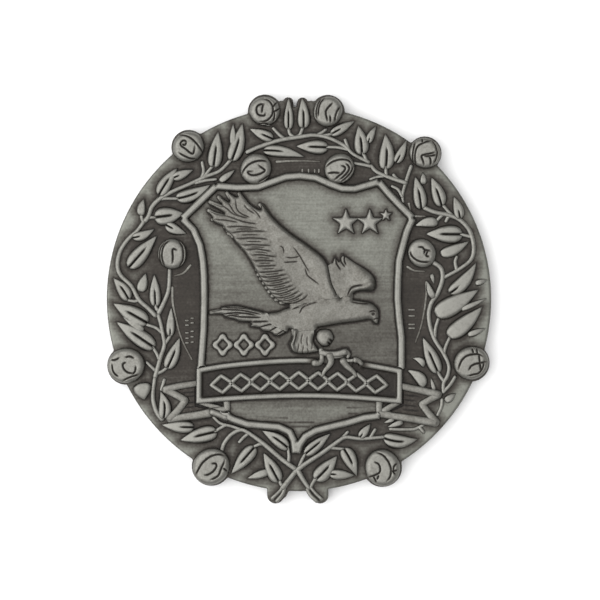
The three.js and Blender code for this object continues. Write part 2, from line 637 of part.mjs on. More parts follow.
const cutters = [];
for (const [name, build] of motifs) {
  const body = cutters.filter((cutter) => boxesMeet(cutter, build())).reduce(
    (solid, cutter) => solid.subtract(cutter), build());
  addNode(name, body, finish.raised);
  cutters.push(build(clearance));
}

// The plate fills the shield inside its border, and clears what reaches down to the ground.
const atPlate = /^(shield_border|banner_fold|banner_tail)/;
const plate = motifs.filter(([name]) => atPlate.test(name)).reduce(
  (solid, [, build]) => solid.subtract(build(clearance)), slab(fieldOutline, ground, field));
addNode("shield_field", plate, finish.blank);

addNode("banner_chain", ribbonChain().subtract(cutters[0]), finish.raised);

const stars = [[6.1, 9.95, 1.75], [9.2, 9.95, 1.75], [11.3, 10.9, 0.8]];
stars.forEach(([x, y, radius], i) => {
  const star = slab(starOutline(x, y, radius), field, field + relief.ornament);
  addNode(`star_${i + 1}`, star, finish.raised);
});

[-9.9, -7.15, -4.4].forEach((x, i) => addNode(`rosette_${i + 1}`, rosette(x, -5.95), finish.raised));

export default coin;
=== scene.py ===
import math

import bpy
import numpy as np
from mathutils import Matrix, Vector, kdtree
from mathutils.geometry import delaunay_2d_cdt


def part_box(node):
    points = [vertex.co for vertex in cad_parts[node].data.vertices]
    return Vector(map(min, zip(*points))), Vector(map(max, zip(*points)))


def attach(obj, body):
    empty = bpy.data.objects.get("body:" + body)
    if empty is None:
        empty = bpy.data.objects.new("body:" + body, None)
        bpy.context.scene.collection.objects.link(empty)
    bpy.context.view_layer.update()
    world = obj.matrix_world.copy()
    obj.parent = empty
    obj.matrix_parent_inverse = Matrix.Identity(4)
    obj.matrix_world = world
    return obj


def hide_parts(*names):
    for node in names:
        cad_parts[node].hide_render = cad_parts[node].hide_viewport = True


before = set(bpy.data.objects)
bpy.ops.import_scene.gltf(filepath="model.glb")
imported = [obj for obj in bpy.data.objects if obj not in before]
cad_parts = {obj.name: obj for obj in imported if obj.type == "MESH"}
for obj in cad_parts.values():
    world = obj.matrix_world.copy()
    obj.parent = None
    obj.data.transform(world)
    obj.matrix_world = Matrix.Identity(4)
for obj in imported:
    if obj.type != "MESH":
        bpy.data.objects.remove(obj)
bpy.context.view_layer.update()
mm = 0.001
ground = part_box("coin_blank")[1].z / mm  # the wreath stands on this level
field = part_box("shield_field")[1].z / mm  # the eagle and the ribbon stand on this one
sink = 0.05  # how far each motif runs down into what it stands on
far = 99  # beyond the coin's edge
chunk = 4000  # points that are measured at once
dot = 0.1 * mm  # a point's own size, which shows nowhere
edgeRows = (0.06, 0.14, 0.24)  # rows of points beside a motif's edge
print("frame loaded:", len(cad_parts), "nodes")


# Two small classes write the node trees.
class Wire:  # one socket, which can be used in sums
    def __init__(self, graph, socket):
        self.graph, self.socket = graph, socket

    def __add__(self, other):
        return self.graph.maths("ADD", self, other)

    def __sub__(self, other):
        return self.graph.maths("SUBTRACT", self, other)

    def __rsub__(self, other):
        return self.graph.maths("SUBTRACT", other, self)

    def __mul__(self, other):
        return self.graph.maths("MULTIPLY", self, other)

    def __truediv__(self, other):
        return self.graph.maths("DIVIDE", self, other)

    def __pow__(self, other):
        return self.graph.maths("POWER", self, other)

    __radd__, __rmul__ = __add__, __mul__


class Graph:  # adds nodes to a tree and joins them up
    def __init__(self, tree):
        self.tree = tree
        tree.nodes.clear()

    def feed(self, socket, value):
        if isinstance(value, Wire):
            self.tree.links.new(value.socket, socket)
        else:
            socket.default_value = value

    def add(self, kind, settings=None, values=None, out=0):
        node = self.tree.nodes.new(kind)
        for key, value in (settings or {}).items():
            setattr(node, key, value)
        for key, value in (values or {}).items():
            self.feed(node.inputs[key], value)
        return Wire(self, node.outputs[out]) if node.outputs else None

    def maths(self, operation, *terms):
        return self.add("ShaderNodeMath", {"operation": operation}, dict(enumerate(terms)))

    def ramp(self, value, low, high, start=0.0, end=1.0, kind="SMOOTHSTEP"):
        return self.add("ShaderNodeMapRange", {"interpolation_type": kind},
                        {"Value": value, "From Min": low, "From Max": high, "To Min": start, "To Max": end})

    def vector(self, x, y, z):
        return self.add("ShaderNodeCombineXYZ", None, {0: x, 1: y, 2: z})

    def parts(self, vector):
        node = self.add("ShaderNodeSeparateXYZ", None, {0: vector}).socket.node
        return [Wire(self, socket) for socket in node.outputs]

    def attribute(self, name):
        return self.add("GeometryNodeInputNamedAttribute", {"data_type": "FLOAT"}, {"Name": name})

    def store(self, geometry, name, value):
        return self.add("GeometryNodeStoreNamedAttribute", {"data_type": "FLOAT", "domain": "POINT"},
                        {"Geometry": geometry, "Name": name, "Value": value})

    def curve(self, value, points):
        wire = self.add("ShaderNodeFloatCurve", None, {"Value": value})
        mapping = wire.socket.node.mapping
        line = mapping.curves[0]
        line.points[0].location, line.points[1].location = points[0], points[-1]
        for point in points[1:-1]:
            line.points.new(*point)
        mapping.update()
        return wire


# Finishes: bright on the high spots, dark where tarnish and painted shade lie in hollows, along motif edges
# and down side walls.
def agedSilver(name, look):
    material = bpy.data.materials.new(name)
    material.use_nodes = True
    g = Graph(material.node_tree)
    place = g.add("ShaderNodeTexCoord", out=3)
    patinaAndShade = g.add("ShaderNodeAttribute", {"attribute_name": "patinaAndShade"}, out=2)

    def noise(scale, detail, stretch=(1, 1, 1)):
        spot = g.add("ShaderNodeMapping", None, {"Vector": place, "Scale": stretch})
        return g.add("ShaderNodeTexNoise", None, {"Vector": spot, "Scale": scale, "Detail": detail})

    cloud = noise(look["cloudScale"], 3)
    grain = noise(look["grainScale"], 2)
    streaks = noise(look["streakScale"], 2, look["streakAlong"])
    patinaShadeAndGrain = (patinaAndShade + (cloud - 0.5) * look["cloud"] + (grain - 0.5) * look["grain"]
            + (streaks - 0.5) * look["streak"])
    tone = g.add("ShaderNodeValToRGB", None, {"Fac": patinaShadeAndGrain})
    stops = tone.socket.node.color_ramp.elements
    while len(stops) < len(look["tones"]):
        stops.new(0.5)
    for stop, (spot, colour) in zip(stops, look["tones"]):
        stop.position, stop.color = spot, (*colour, 1)
    rough = g.ramp(patinaShadeAndGrain, 0, 1, *look["rough"], "LINEAR") + (grain - 0.5) * dents["rough"]
    metal = g.ramp(patinaShadeAndGrain, 0.3, 1, 1, look["darkMetal"], "LINEAR")
    bump = g.add("ShaderNodeBump", None, {
        "Strength": look["bump"], "Distance": dents["depth"] * mm,
        "Height": grain * dents["grain"] + streaks * dents["streak"] + cloud})
    shader = g.add("ShaderNodeBsdfPrincipled", None, {
        "Base Color": tone, "Roughness": rough, "Metallic": metal, "Normal": bump})
    g.add("ShaderNodeOutputMaterial", None, {"Surface": shader})
    return material


dents = {"depth": 0.03, "grain": 0.6, "streak": 0.8, "rough": 0.1}
reliefLook = {
    "tones": [(0.0, (0.198, 0.195, 0.177)), (0.3, (0.113, 0.108, 0.096)), (0.6, (0.040, 0.035, 0.030)),
              (1.0, (0.0115, 0.0095, 0.008))],
    "rough": (0.42, 0.6), "darkMetal": 0.6,
    "cloudScale": 700, "cloud": 0.3, "grainScale": 4500, "grain": 0.34,
    "streakScale": 1600, "streakAlong": (1, 1, 1), "streak": 0.24, "bump": 0.5,
}
groundLook = {
    "tones": [(0.0, (0.163, 0.165, 0.146)), (0.3, (0.097, 0.094, 0.083)), (0.6, (0.041, 0.036, 0.031)),
              (1.0, (0.011, 0.009, 0.0075))],
    "rough": (0.45, 0.65), "darkMetal": 0.55,
    "cloudScale": 320, "cloud": 0.28, "grainScale": 3800, "grain": 0.32,
    "streakScale": 130, "streakAlong": (1, 24, 1), "streak": 0.3, "bump": 0.3,
}
silvers = {"relief": agedSilver("polishedRelief", reliefLook),
           "ground": agedSilver("darkenedGround", groundLook)}
print("finishes made")


# Lines and outlines, in millimetres.
def smooth(points, perSpan=4):  # a soft curve through the points
    p = np.array(points, float)
    p = np.vstack([2 * p[0] - p[1], p, 2 * p[-1] - p[-2]])
    t = np.linspace(0, 1, perSpan, endpoint=False)[:, None]
    spans = [0.5 * (2 * b + (c - a) * t + (2 * a - 5 * b + 4 * c - d) * t ** 2
                    + (3 * b - a - 3 * c + d) * t ** 3)
             for a, b, c, d in zip(p, p[1:], p[2:], p[3:])]
    return np.vstack(spans + [p[-2]])


def cutCorners(loop, rounds, share=0.22):
    for _ in range(rounds):
        after = np.roll(loop, -1, axis=0)
        loop = np.stack([loop * (1 - share) + after * share, loop * share + after * (1 - share)],
                        axis=1).reshape(-1, 2)
    return loop


def evenly(line, count=0, step=0.0):  # that many points along a line, or points that far apart on a loop
    line = np.array(line, float)
    lengths = np.concatenate([[0], np.cumsum(np.linalg.norm(np.diff(line, axis=0), axis=1))])
    number = count or max(int(round(lengths[-1] / step)), 3)
    spots = np.linspace(0, lengths[-1], number, endpoint=count > 0)
    return np.stack([np.interp(spots, lengths, line[:, k]) for k in (0, 1)], axis=1)


def respace(loop, step):
    return evenly(np.vstack([loop, loop[:1]]), step=step)


def chained(ahead):  # joins directed edges into loops
    following = {}
    for a, b in sorted(ahead):
        if (b, a) not in ahead:
            following.setdefault(a, []).append(b)
    loops = []
    while following:
        start = spot = min(following)
        loop = []
        while not loop or spot != start:
            loop.append(spot)
            onward = following[spot]
            after = onward.pop()
            if not onward:
                del following[spot]
            spot = after
        loops.append(loop)
    return loops


def footprint(node):  # the outlines of a node's underside, outer ones counterclockwise
    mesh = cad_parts[node].data
    mesh.calc_loop_triangles()
    corners = np.array([v.co for v in mesh.vertices]) / mm
    spots = np.round(corners, 3)
    low = spots[:, 2].min()
    ahead = set()
    for triangle in mesh.loop_triangles:
        if all(spots[i][2] < low + 0.01 for i in triangle.vertices):
            a, b, c = (tuple(spots[i][:2]) for i in triangle.vertices)
            ahead |= {(b, a), (c, b), (a, c)}
    return [np.array(loop) for loop in chained(ahead) if len(loop) > 2]


def lineDistance(points, line, closed=False):  # distance to a line, and how far along it
    a = np.asarray(line, float)
    b = np.roll(a, -1, axis=0) if closed else a[1:]
    a = a if closed else a[:-1]
    run = b - a
    size = np.maximum((run ** 2).sum(1), 1e-12)
    best, share = np.empty(len(points)), np.empty(len(points))
    for first in range(0, len(points), chunk):
        p = points[first:first + chunk, None, :]
        t = np.clip(((p - a) * run).sum(2) / size, 0, 1)
        gap = np.linalg.norm(p - a - t[:, :, None] * run, axis=2)
        near = gap.argmin(1)
        rows = np.arange(len(near))
        best[first:first + chunk] = gap[rows, near]
        share[first:first + chunk] = (near + t[rows, near]) / len(a)
    return best, share


def inside(points, loops):
    hits = np.zeros(len(points), bool)
    for loop in loops:
        a, b = loop, np.roll(loop, -1, axis=0)
        for first in range(0, len(points), chunk):
            x, y = points[first:first + chunk, 0, None], points[first:first + chunk, 1, None]
            crosses = (a[:, 1] > y) != (b[:, 1] > y)
            climb = np.where(b[:, 1] == a[:, 1], 1e-9, b[:, 1] - a[:, 1])
            at = a[:, 0] + (y - a[:, 1]) / climb * (b[:, 0] - a[:, 0])
            hits[first:first + chunk] ^= (crosses & (x < at)).sum(1) % 2 == 1
    return hits


def edgeDistance(points, loops):
    return np.min([lineDistance(points, loop, closed=True)[0] for loop in loops], axis=0)


def outward(ring):  # unit directions away from a counterclockwise ring
    run = np.roll(ring, -1, axis=0) - np.roll(ring, 1, axis=0)
    run /= np.maximum(np.linalg.norm(run, axis=1), 1e-9)[:, None]
    return np.stack([run[:, 1], -run[:, 0]], axis=1)


def spotTree(outlines, step=0.06):  # finds the nearest spot of some outlines
    spots = np.vstack([respace(loop, step) for loop in outlines])
    tree = kdtree.KDTree(len(spots))
    for index, (x, y) in enumerate(spots):
        tree.insert((x, y, 0), index)
    tree.balance()
    return tree


def drawnTogether(loop, neighbours, gap, overlap=0.12):
    # Pulls the stretches of an outline that lie beside its neighbours just over their edges.
    # Gives the new outline and the stretches of it that stay free.
    tree = spotTree(neighbours)
    loop = respace(loop, 0.12)
    moved, free = loop.copy(), np.ones(len(loop), bool)
    for i, (x, y) in enumerate(loop):
        spot, _, distance = tree.find((x, y, 0))
        if distance < gap:
            way = np.array(spot[:2]) - loop[i]
            moved[i] = np.array(spot[:2]) + way / max(distance, 1e-6) * overlap
            free[i] = False
    if free.all():
        return moved, [np.vstack([moved, moved[:1]])]
    order = np.roll(np.arange(len(loop)), -int(np.argmin(free)))
    runs = np.split(order, np.flatnonzero(~free[order]))
    return moved, [moved[run[free[run]]] for run in runs if free[run].sum() > 1]


# Relief: an outline becomes a rounded solid with raised and cut lines.
def rise(inset, width):  # a quarter round from an edge
    return np.sqrt(1 - (1 - np.clip(inset / width, 0, 1)) ** 2)


def bell(distance, width):
    return np.exp(-(distance / width) ** 2)


def step(value, low, high):
    t = np.clip((value - low) / (high - low), 0, 1)
    return t * t * (3 - 2 * t)


# How dark tarnish and painted shade make each part of a motif: its rim, its sunk floor, the painted shadows
# on it, its grooves, side walls, foot and underside.
patinaAndShadeLevels = {"rim": 0.9, "floor": 0.85, "shadow": 0.95, "groove": 0.95, "side": 0.7, "foot": 0.25, "under": 1}


def shaped(look):
    # Heights and darkening over a motif, from its rim, its raised lines and its cut lines; the darkening is
    # tarnish with painted shade at its rim, on a sunk floor, in its grooves and under painted shadows.
    def shape(points, inset):
        lift = rise(inset, look["round"])
        height = look["rim"] + (look["height"] - look["rim"]) * lift
        dark = patinaAndShadeLevels["rim"] * (1 - rise(inset, look["rimDark"]))
        for line, amount, width in look.get("swells", ()):
            height = height + amount * bell(lineDistance(points, smooth(line))[0], width) * lift
        if "frame" in look:  # a raised frame, which slopes down to a floor coloured dark with tarnish and painted shade
            gone = step(inset, *look["frame"])
            height = height * (1 - gone) + look["floor"] * gone
            dark = np.maximum(dark, patinaAndShadeLevels["floor"] * gone)
        for line, width in look.get("shadows", ()):
            near = bell(lineDistance(points, smooth(line))[0], width)
            dark = np.maximum(dark, patinaAndShadeLevels["shadow"] * near)
        cut = np.zeros(len(points))
        for line in look.get("grooves", ()):
            gap, share = lineDistance(points, smooth(line))
            fade = np.clip(np.minimum(share, 1 - share) * 5 + 0.35, 0, 1)  # shallower at both ends
            cut = np.maximum(cut, bell(gap, look["grooveWidth"]) * fade)
        height = height - look.get("grooveDepth", 0) * cut
        dark = np.maximum(dark, look.get("grooveDark", patinaAndShadeLevels["groove"]) * cut)
        return np.maximum(height, 0.02), dark + look.get("tarnish", 0)
    return shape


def finished(name, mesh, nodes, slot="relief"):
    mesh.materials.clear()
    mesh.materials.append(silvers[slot])
    piece = bpy.data.objects.new(name, mesh)
    bpy.context.scene.collection.objects.link(piece)
    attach(piece, "root")
    if nodes:
        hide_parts(*nodes)


def guides(lines, width):  # rows of points along cut lines, so that narrow cuts stay crisp
    rows = []
    for line in lines:
        line = smooth(line, 6)
        run = np.gradient(line, axis=0)
        run /= np.maximum(np.linalg.norm(run, axis=1), 1e-9)[:, None]
        side = np.stack([run[:, 1], -run[:, 0]], axis=1)
        rows += [line + side * width * k for k in (-2, -1, 0, 1, 2)]
    return np.vstack(rows) if rows else np.empty((0, 2))


def reliefMesh(name, outlines, base, shape, spacing, insets, foot=None, cuts=(), cutWidth=0, free=None):
    loops = [respace(loop, spacing) for loop in outlines]
    shell = [loop - outward(loop) * inset for loop in loops for inset in insets]
    rings = [ring[edgeDistance(ring, loops) > 0.9 * inset]
             for ring, inset in zip(shell, list(insets) * len(loops))]
    low, high = np.vstack(loops).min(0), np.vstack(loops).max(0)
    xs = np.arange(low[0], high[0], spacing)
    ys = np.arange(low[1], high[1], spacing * 0.866)
    grid = np.stack(np.meshgrid(xs, ys), axis=-1)
    grid[1::2, :, 0] += spacing / 2
    grid = grid.reshape(-1, 2)
    grid = grid[inside(grid, loops)]
    grid = grid[edgeDistance(grid, loops) > insets[-1] + spacing * 0.5]
    marked = guides(cuts, cutWidth)
    if len(marked):
        marked = marked[inside(marked, loops)]
        marked = marked[edgeDistance(marked, loops) > 0.05]
        near = np.min([lineDistance(grid, smooth(line))[0] for line in cuts], axis=0)
        grid = grid[near > cutWidth * 2.4]
    rings = [ring[inside(ring, loops)] for ring in rings if len(ring)]
    points = np.vstack([*loops, *rings, marked, grid])
    edges, first = [], 0
    for loop in loops:
        edges += [(first + i, first + (i + 1) % len(loop)) for i in range(len(loop))]
        first += len(loop)
    made = delaunay_2d_cdt([tuple(p) for p in points], edges, [], 1, 1e-5, False)
    flat = np.array([tuple(v) for v in made[0]])
    faces = np.array(made[2])
    faces = faces[inside(flat[faces].mean(1), loops)]
    used = np.unique(faces)
    flat, faces = flat[used], np.searchsorted(used, faces)
    inset = (np.min([lineDistance(flat, line)[0] for line in free], axis=0) if free
             else edgeDistance(flat, loops))
    height, patinaAndShade = shape(flat, inset)
    verts = [np.column_stack([flat, base + height])]
    dark = [patinaAndShade]
    polygons = [tuple(int(i) for i in face) for face in faces]
    total, below = len(flat), {}
    for ring in chained({(f[i], f[(i + 1) % 3]) for f in polygons for i in range(3)}):
        edge, out = flat[ring], outward(flat[ring])
        rows = [ring]
        for inset, level, reach in foot or [(0, base - sink, far)]:
            lower = edge - out * inset
            lower *= np.minimum(1, reach / np.maximum(np.linalg.norm(lower, axis=1), 1e-9))[:, None]
            verts.append(np.column_stack([lower, np.full(len(ring), level)]))
            # Side walls and the blank's foot are coloured dark: tarnish and painted shade.
            dark.append(np.full(len(ring), patinaAndShadeLevels["foot" if foot else "side"]))
            rows.append(list(range(total, total + len(ring))))
            total += len(ring)
        for upper, lower in zip(rows, rows[1:]):
            polygons += [(upper[i], upper[i - 1], lower[i - 1], lower[i]) for i in range(len(ring))]
        below |= dict(zip(ring, rows[-1]))
        if len(loops) == 1:
            polygons.append(tuple(reversed(rows[-1])))
    if len(loops) > 1:  # a pierced motif: its underside repeats the triangles of its top
        inner = [i for i in range(len(flat)) if i not in below]
        verts.append(np.column_stack([flat[inner], np.full(len(inner), base - sink)]))
        dark.append(np.full(len(inner), patinaAndShadeLevels["under"]))
        below |= {i: total + k for k, i in enumerate(inner)}
        polygons += [tuple(below[i] for i in reversed(face)) for face in polygons[:len(faces)]]
    mesh = bpy.data.meshes.new(name)
    mesh.from_pydata((np.vstack(verts) * mm).tolist(), [], polygons)
    mesh.attributes.new("patinaAndShade", "FLOAT", "POINT").data.foreach_set(
        "value", np.clip(np.concatenate(dark), 0, 1).astype(np.float32))
    mesh.shade_smooth()
    return mesh


def reliefPiece(name, node, base, look):
    outlines, free = [cutCorners(loop, look["corners"]) for loop in footprint(node)], None
    if "grow" in look:
        outlines = [loop + outward(loop) * look["grow"] for loop in outlines]
    if look.get("joins"):
        neighbours = [loop for other in look["joins"] for loop in footprint(other)]
        outlines, free = zip(*[drawnTogether(loop, neighbours, look["gap"]) for loop in outlines])
        free = [line for lines in free for line in lines]
    mesh = reliefMesh(name, outlines, base, shaped(look), look["spacing"], look.get("insets", edgeRows),
                      None, look.get("grooves", ()), look.get("grooveWidth", 0), free)
    finished(name, mesh, [node])


# Geometry Nodes grow what repeats: leaves, bars and links.
def newTree(name, sizes):
    tree = bpy.data.node_groups.new(name, "GeometryNodeTree")
    tree.interface.new_socket("Geometry", in_out="INPUT", socket_type="NodeSocketGeometry")
    for label, value in sizes.items():
        kind = "NodeSocketInt" if isinstance(value, int) else "NodeSocketFloat"
        socket = tree.interface.new_socket(label, in_out="INPUT", socket_type=kind)
        socket.default_value = value
    tree.interface.new_socket("Material", in_out="INPUT", socket_type="NodeSocketMaterial")
    tree.interface.new_socket("Geometry", in_out="OUTPUT", socket_type="NodeSocketGeometry")
    g = Graph(tree)
    node = tree.nodes.new("NodeGroupInput")
    return g, {socket.name: Wire(g, socket) for socket in node.outputs if socket.name}


def closeTree(g, geometry, given):
    whole = g.add("GeometryNodeRealizeInstances", None, {"Geometry": geometry})
    soft = g.add("GeometryNodeSetShadeSmooth", None, {"Geometry": whole})
    painted = g.add("GeometryNodeSetMaterial", None, {"Geometry": soft, "Material": given["Material"]})
    g.add("NodeGroupOutput", None, {0: painted})
    return g.tree


def grown(name, source, tree, sizes, nodes):
    # Runs a tree over a source mesh and keeps the result as a plain piece.
    holder = bpy.data.objects.new(name + "Source", source)
    bpy.context.scene.collection.objects.link(holder)
    modifier = holder.modifiers.new(name, "NODES")
    modifier.node_group = tree
    for item in tree.interface.items_tree:
        if item.in_out == "INPUT" and item.name in sizes:
            modifier[item.identifier] = sizes[item.name]
        if item.in_out == "INPUT" and item.name == "Material":
            modifier[item.identifier] = silvers["relief"]
    graph = bpy.context.evaluated_depsgraph_get()
    mesh = bpy.data.meshes.new_from_object(holder.evaluated_get(graph), preserve_all_data_layers=True,
                                           depsgraph=graph)
    holder.modifiers.remove(modifier)
    bpy.data.objects.remove(holder)
    bpy.data.meshes.remove(source)
    mesh.name = name
    finished(name, mesh, nodes)


def sourceMesh(name, spots, edges, values):
    mesh = bpy.data.meshes.new(name)
    mesh.from_pydata(spots, edges, [])
    for label, numbers in values.items():
        attribute = mesh.attributes.new(label, "FLOAT", "POINT")
        attribute.data.foreach_set("value", np.array(numbers, np.float32))
    return mesh


def pointCloud(name, spots, **values):
    return sourceMesh(name, [(x * mm, y * mm, 0) for x, y in spots], [], values)


def rounded(line, start, end):  # adds a round end to each end of a line, and works out its widths
    turns = np.array([0.5, 1.0, 1.45])  # where a round end has its points
    first, last = line[0] - line[1], line[-1] - line[-2]
    head = line[0] + np.outer(np.sin(turns), first / np.linalg.norm(first)) * start / 2
    tail = line[-1] + np.outer(np.sin(turns), last / np.linalg.norm(last)) * end / 2
    widths = np.concatenate([np.cos(turns)[::-1] * start, np.linspace(start, end, len(line)),
                             np.cos(turns) * end])
    return np.vstack([head[::-1], line, tail]), widths


def strands(name, lines, level):  # lines as edges, each with its own radius along it
    spots, edges, radii = [], [], []
    for line, start, end in lines:
        line, widths = rounded(np.array(line, float), start, end)
        first, count = len(spots), len(line)
        spots += [(x * mm, y * mm, level * mm) for x, y in line]
        radii += list(widths * mm / 2)
        edges += [(first + i, first + i + 1) for i in range(count - 1)]
    return sourceMesh(name, spots, edges, {"girth": radii})


leafShape = {
    "crowding": 0.7, "lobePower": 5.5, "veinFade": 0.16, "veinDark": 0.95, "rimPower": 16, "rimDark": 0.7,
    "sideDark": 0.8, "least": 0.02, "widthOfVein": 2,  # the leaf width that the vein's width is meant for
    "girth": [(0, 0.4), (0.08, 0.78), (0.26, 1), (0.5, 0.91), (0.76, 0.54), (1, 0.03)],
    "swell": [(0, 0.72), (0.25, 1), (0.6, 0.92), (0.85, 0.7), (1, 0.35)],
}


def leafTree():
    # Each point grows one leaf: two swelling lobes on either side of a vein that fades out.
    g, given = newTree("leaf", {
        "Height": 0.65 * mm, "Level": 0.0, "Sink": sink * mm, "Vein Width": 0.072 * mm,
        "Vein Depth": 0.36 * mm, "Along": 19, "Across": 17})
    box = g.add("GeometryNodeMeshCube", None, {
        "Size": (1, 1, 1), "Vertices X": given["Along"], "Vertices Y": given["Across"], "Vertices Z": 2})
    x, y, z = g.parts(g.add("GeometryNodeInputPosition"))
    spread = y * 2 * g.maths("ABSOLUTE", y * 2) ** leafShape["crowding"]  # closer beside the vein
    seed = g.store(g.store(g.store(box, "t", x + 0.5), "v", spread), "top", z + 0.5)
    points = g.add("GeometryNodeMeshToPoints", None, {"Mesh": given["Geometry"], "Radius": dot})
    px, py, _ = g.parts(g.add("GeometryNodeInputPosition"))
    points = g.store(g.store(points, "stalkX", px), "stalkY", py)
    planted = g.add("GeometryNodeInstanceOnPoints", None, {"Points": points, "Instance": seed})
    whole = g.add("GeometryNodeRealizeInstances", None, {"Geometry": planted})
    t, v, top = g.attribute("t"), g.attribute("v"), g.attribute("top")
    girth, swell = g.curve(t, leafShape["girth"]), g.curve(t, leafShape["swell"])
    half = g.attribute("width") * girth / 2
    across = v * half + g.attribute("bow") * t * (1 - t) * 4
    along = t * g.attribute("length")
    cosine, sine = g.maths("COSINE", g.attribute("aim")), g.maths("SINE", g.attribute("aim"))
    lobe = (1 - g.maths("ABSOLUTE", v) ** leafShape["lobePower"]) ** 0.5
    vein = g.attribute("vein")
    gap = v * half / (given["Vein Width"] * (g.attribute("width") / (leafShape["widthOfVein"] * mm)))
    cut = g.maths("EXPONENT", gap * gap * -1) * g.ramp(t, vein - leafShape["veinFade"], vein, 1, 0)
    height = g.maths("MAXIMUM", given["Height"] * swell * lobe - given["Vein Depth"] * cut,
                     leafShape["least"] * mm)
    place = g.vector(g.attribute("stalkX") + cosine * along - sine * across,
                     g.attribute("stalkY") + sine * along + cosine * across,
                     given["Level"] - given["Sink"] + top * (height + given["Sink"]))
    bent = g.add("GeometryNodeSetPosition", None, {"Geometry": whole, "Position": place})
    # Tarnish and painted shade: dark in the vein, at the lobes' edges and down the side walls.
    rim = g.maths("ABSOLUTE", v) ** leafShape["rimPower"] * leafShape["rimDark"]
    dark = g.maths("MAXIMUM", cut * leafShape["veinDark"], rim) * top + (1 - top) * leafShape["sideDark"]
    return closeTree(g, g.store(bent, "patinaAndShade", dark), given)


def stemTree():
    # Each strand becomes a low rounded bar, as wide as its girth says.
    g, given = newTree("stem", {"Sides": 16, "Height": 1.0, "Flatness": 0.2, "Level": 0.0,
                                "Fade": 0.12 * mm, "Tarnish": 0.03})
    line = g.add("GeometryNodeMeshToCurve", None, {"Mesh": given["Geometry"]})
    line = g.add("GeometryNodeSetCurveNormal", {"mode": "Z_UP"}, {"Curve": line})
    ring = g.add("GeometryNodeCurvePrimitiveCircle", None, {"Resolution": given["Sides"], "Radius": 1.0})
    x, y, _ = g.parts(g.add("GeometryNodeInputPosition"))
    fuller = [g.maths("MAXIMUM", g.maths("ABSOLUTE", side), 0.001) ** (given["Flatness"] * -1) * side
              for side in (x, y)]
    square = g.vector(fuller[0], fuller[1] * given["Height"], 0.0)
    ring = g.add("GeometryNodeSetPosition", None, {"Geometry": ring, "Position": square})
    bar = g.add("GeometryNodeCurveToMesh", None, {"Curve": line, "Profile Curve": ring,
                                                  "Scale": g.attribute("girth"), "Fill Caps": True})
    height = g.parts(g.add("GeometryNodeInputPosition"))[2]
    # Tarnish and painted shade gather where each bar meets the level it stands on; the even tarnish is its
    # own tone.
    dark = g.ramp(height, given["Level"], given["Level"] + given["Fade"], patinaAndShadeLevels["rim"], 0)
    return closeTree(g, g.store(bar, "patinaAndShade", dark + given["Tarnish"]), given)


def linkTree():
    # Each point carries one open lozenge of rounded wire, turned by its own aim.
    g, given = newTree("link", {"Half Width": 1.4 * mm, "Half Height": 1.1 * mm, "Wire": 0.35 * mm,
                                "Sides": 10, "Level": 0.0, "Fade": 0.1 * mm})
    lozenge = g.add("GeometryNodeCurvePrimitiveCircle", None, {"Resolution": 4, "Radius": 1.0})
    size = g.vector(given["Half Width"], given["Half Height"], 1.0)
    lozenge = g.add("GeometryNodeTransform", None, {"Geometry": lozenge, "Scale": size})
    lozenge = g.add("GeometryNodeSubdivideCurve", None, {"Curve": lozenge, "Cuts": 5})
    ring = g.add("GeometryNodeCurvePrimitiveCircle", None, {"Resolution": given["Sides"],
                                                            "Radius": given["Wire"]})
    wire = g.add("GeometryNodeCurveToMesh", None, {"Curve": lozenge, "Profile Curve": ring})
    points = g.add("GeometryNodeMeshToPoints", None, {"Mesh": given["Geometry"], "Radius": dot})
    turn = g.vector(0.0, 0.0, g.attribute("aim"))
    laid = g.add("GeometryNodeInstanceOnPoints", None, {"Points": points, "Instance": wire,
                                                        "Rotation": turn})
    whole = g.add("GeometryNodeRealizeInstances", None, {"Geometry": laid})
    lift = g.vector(0.0, 0.0, given["Level"])
    whole = g.add("GeometryNodeSetPosition", None, {"Geometry": whole, "Offset": lift})
    height = g.parts(g.add("GeometryNodeInputPosition"))[2]
    # Tarnish and painted shade gather where each link meets the level it stands on.
    dark = g.ramp(height, given["Level"], given["Level"] + given["Fade"], patinaAndShadeLevels["rim"], 0)
    return closeTree(g, g.store(whole, "patinaAndShade", dark), given)


leafMaker, stemMaker, linkMaker = leafTree(), stemTree(), linkTree()
print("node trees made")


def growBars(name, lines, look, floor, nodes):
    # Lines are (points, width at the start, width at the end).
    bars = [(smooth(line), start, end) for line, start, end in lines]
    sizes = {key.title(): look[key] for key in ("height", "flatness", "tarnish") if key in look}
    grown(name, strands(name, bars, floor + look.get("lift", 0)), stemMaker, sizes | {"Level": floor * mm},
          nodes)


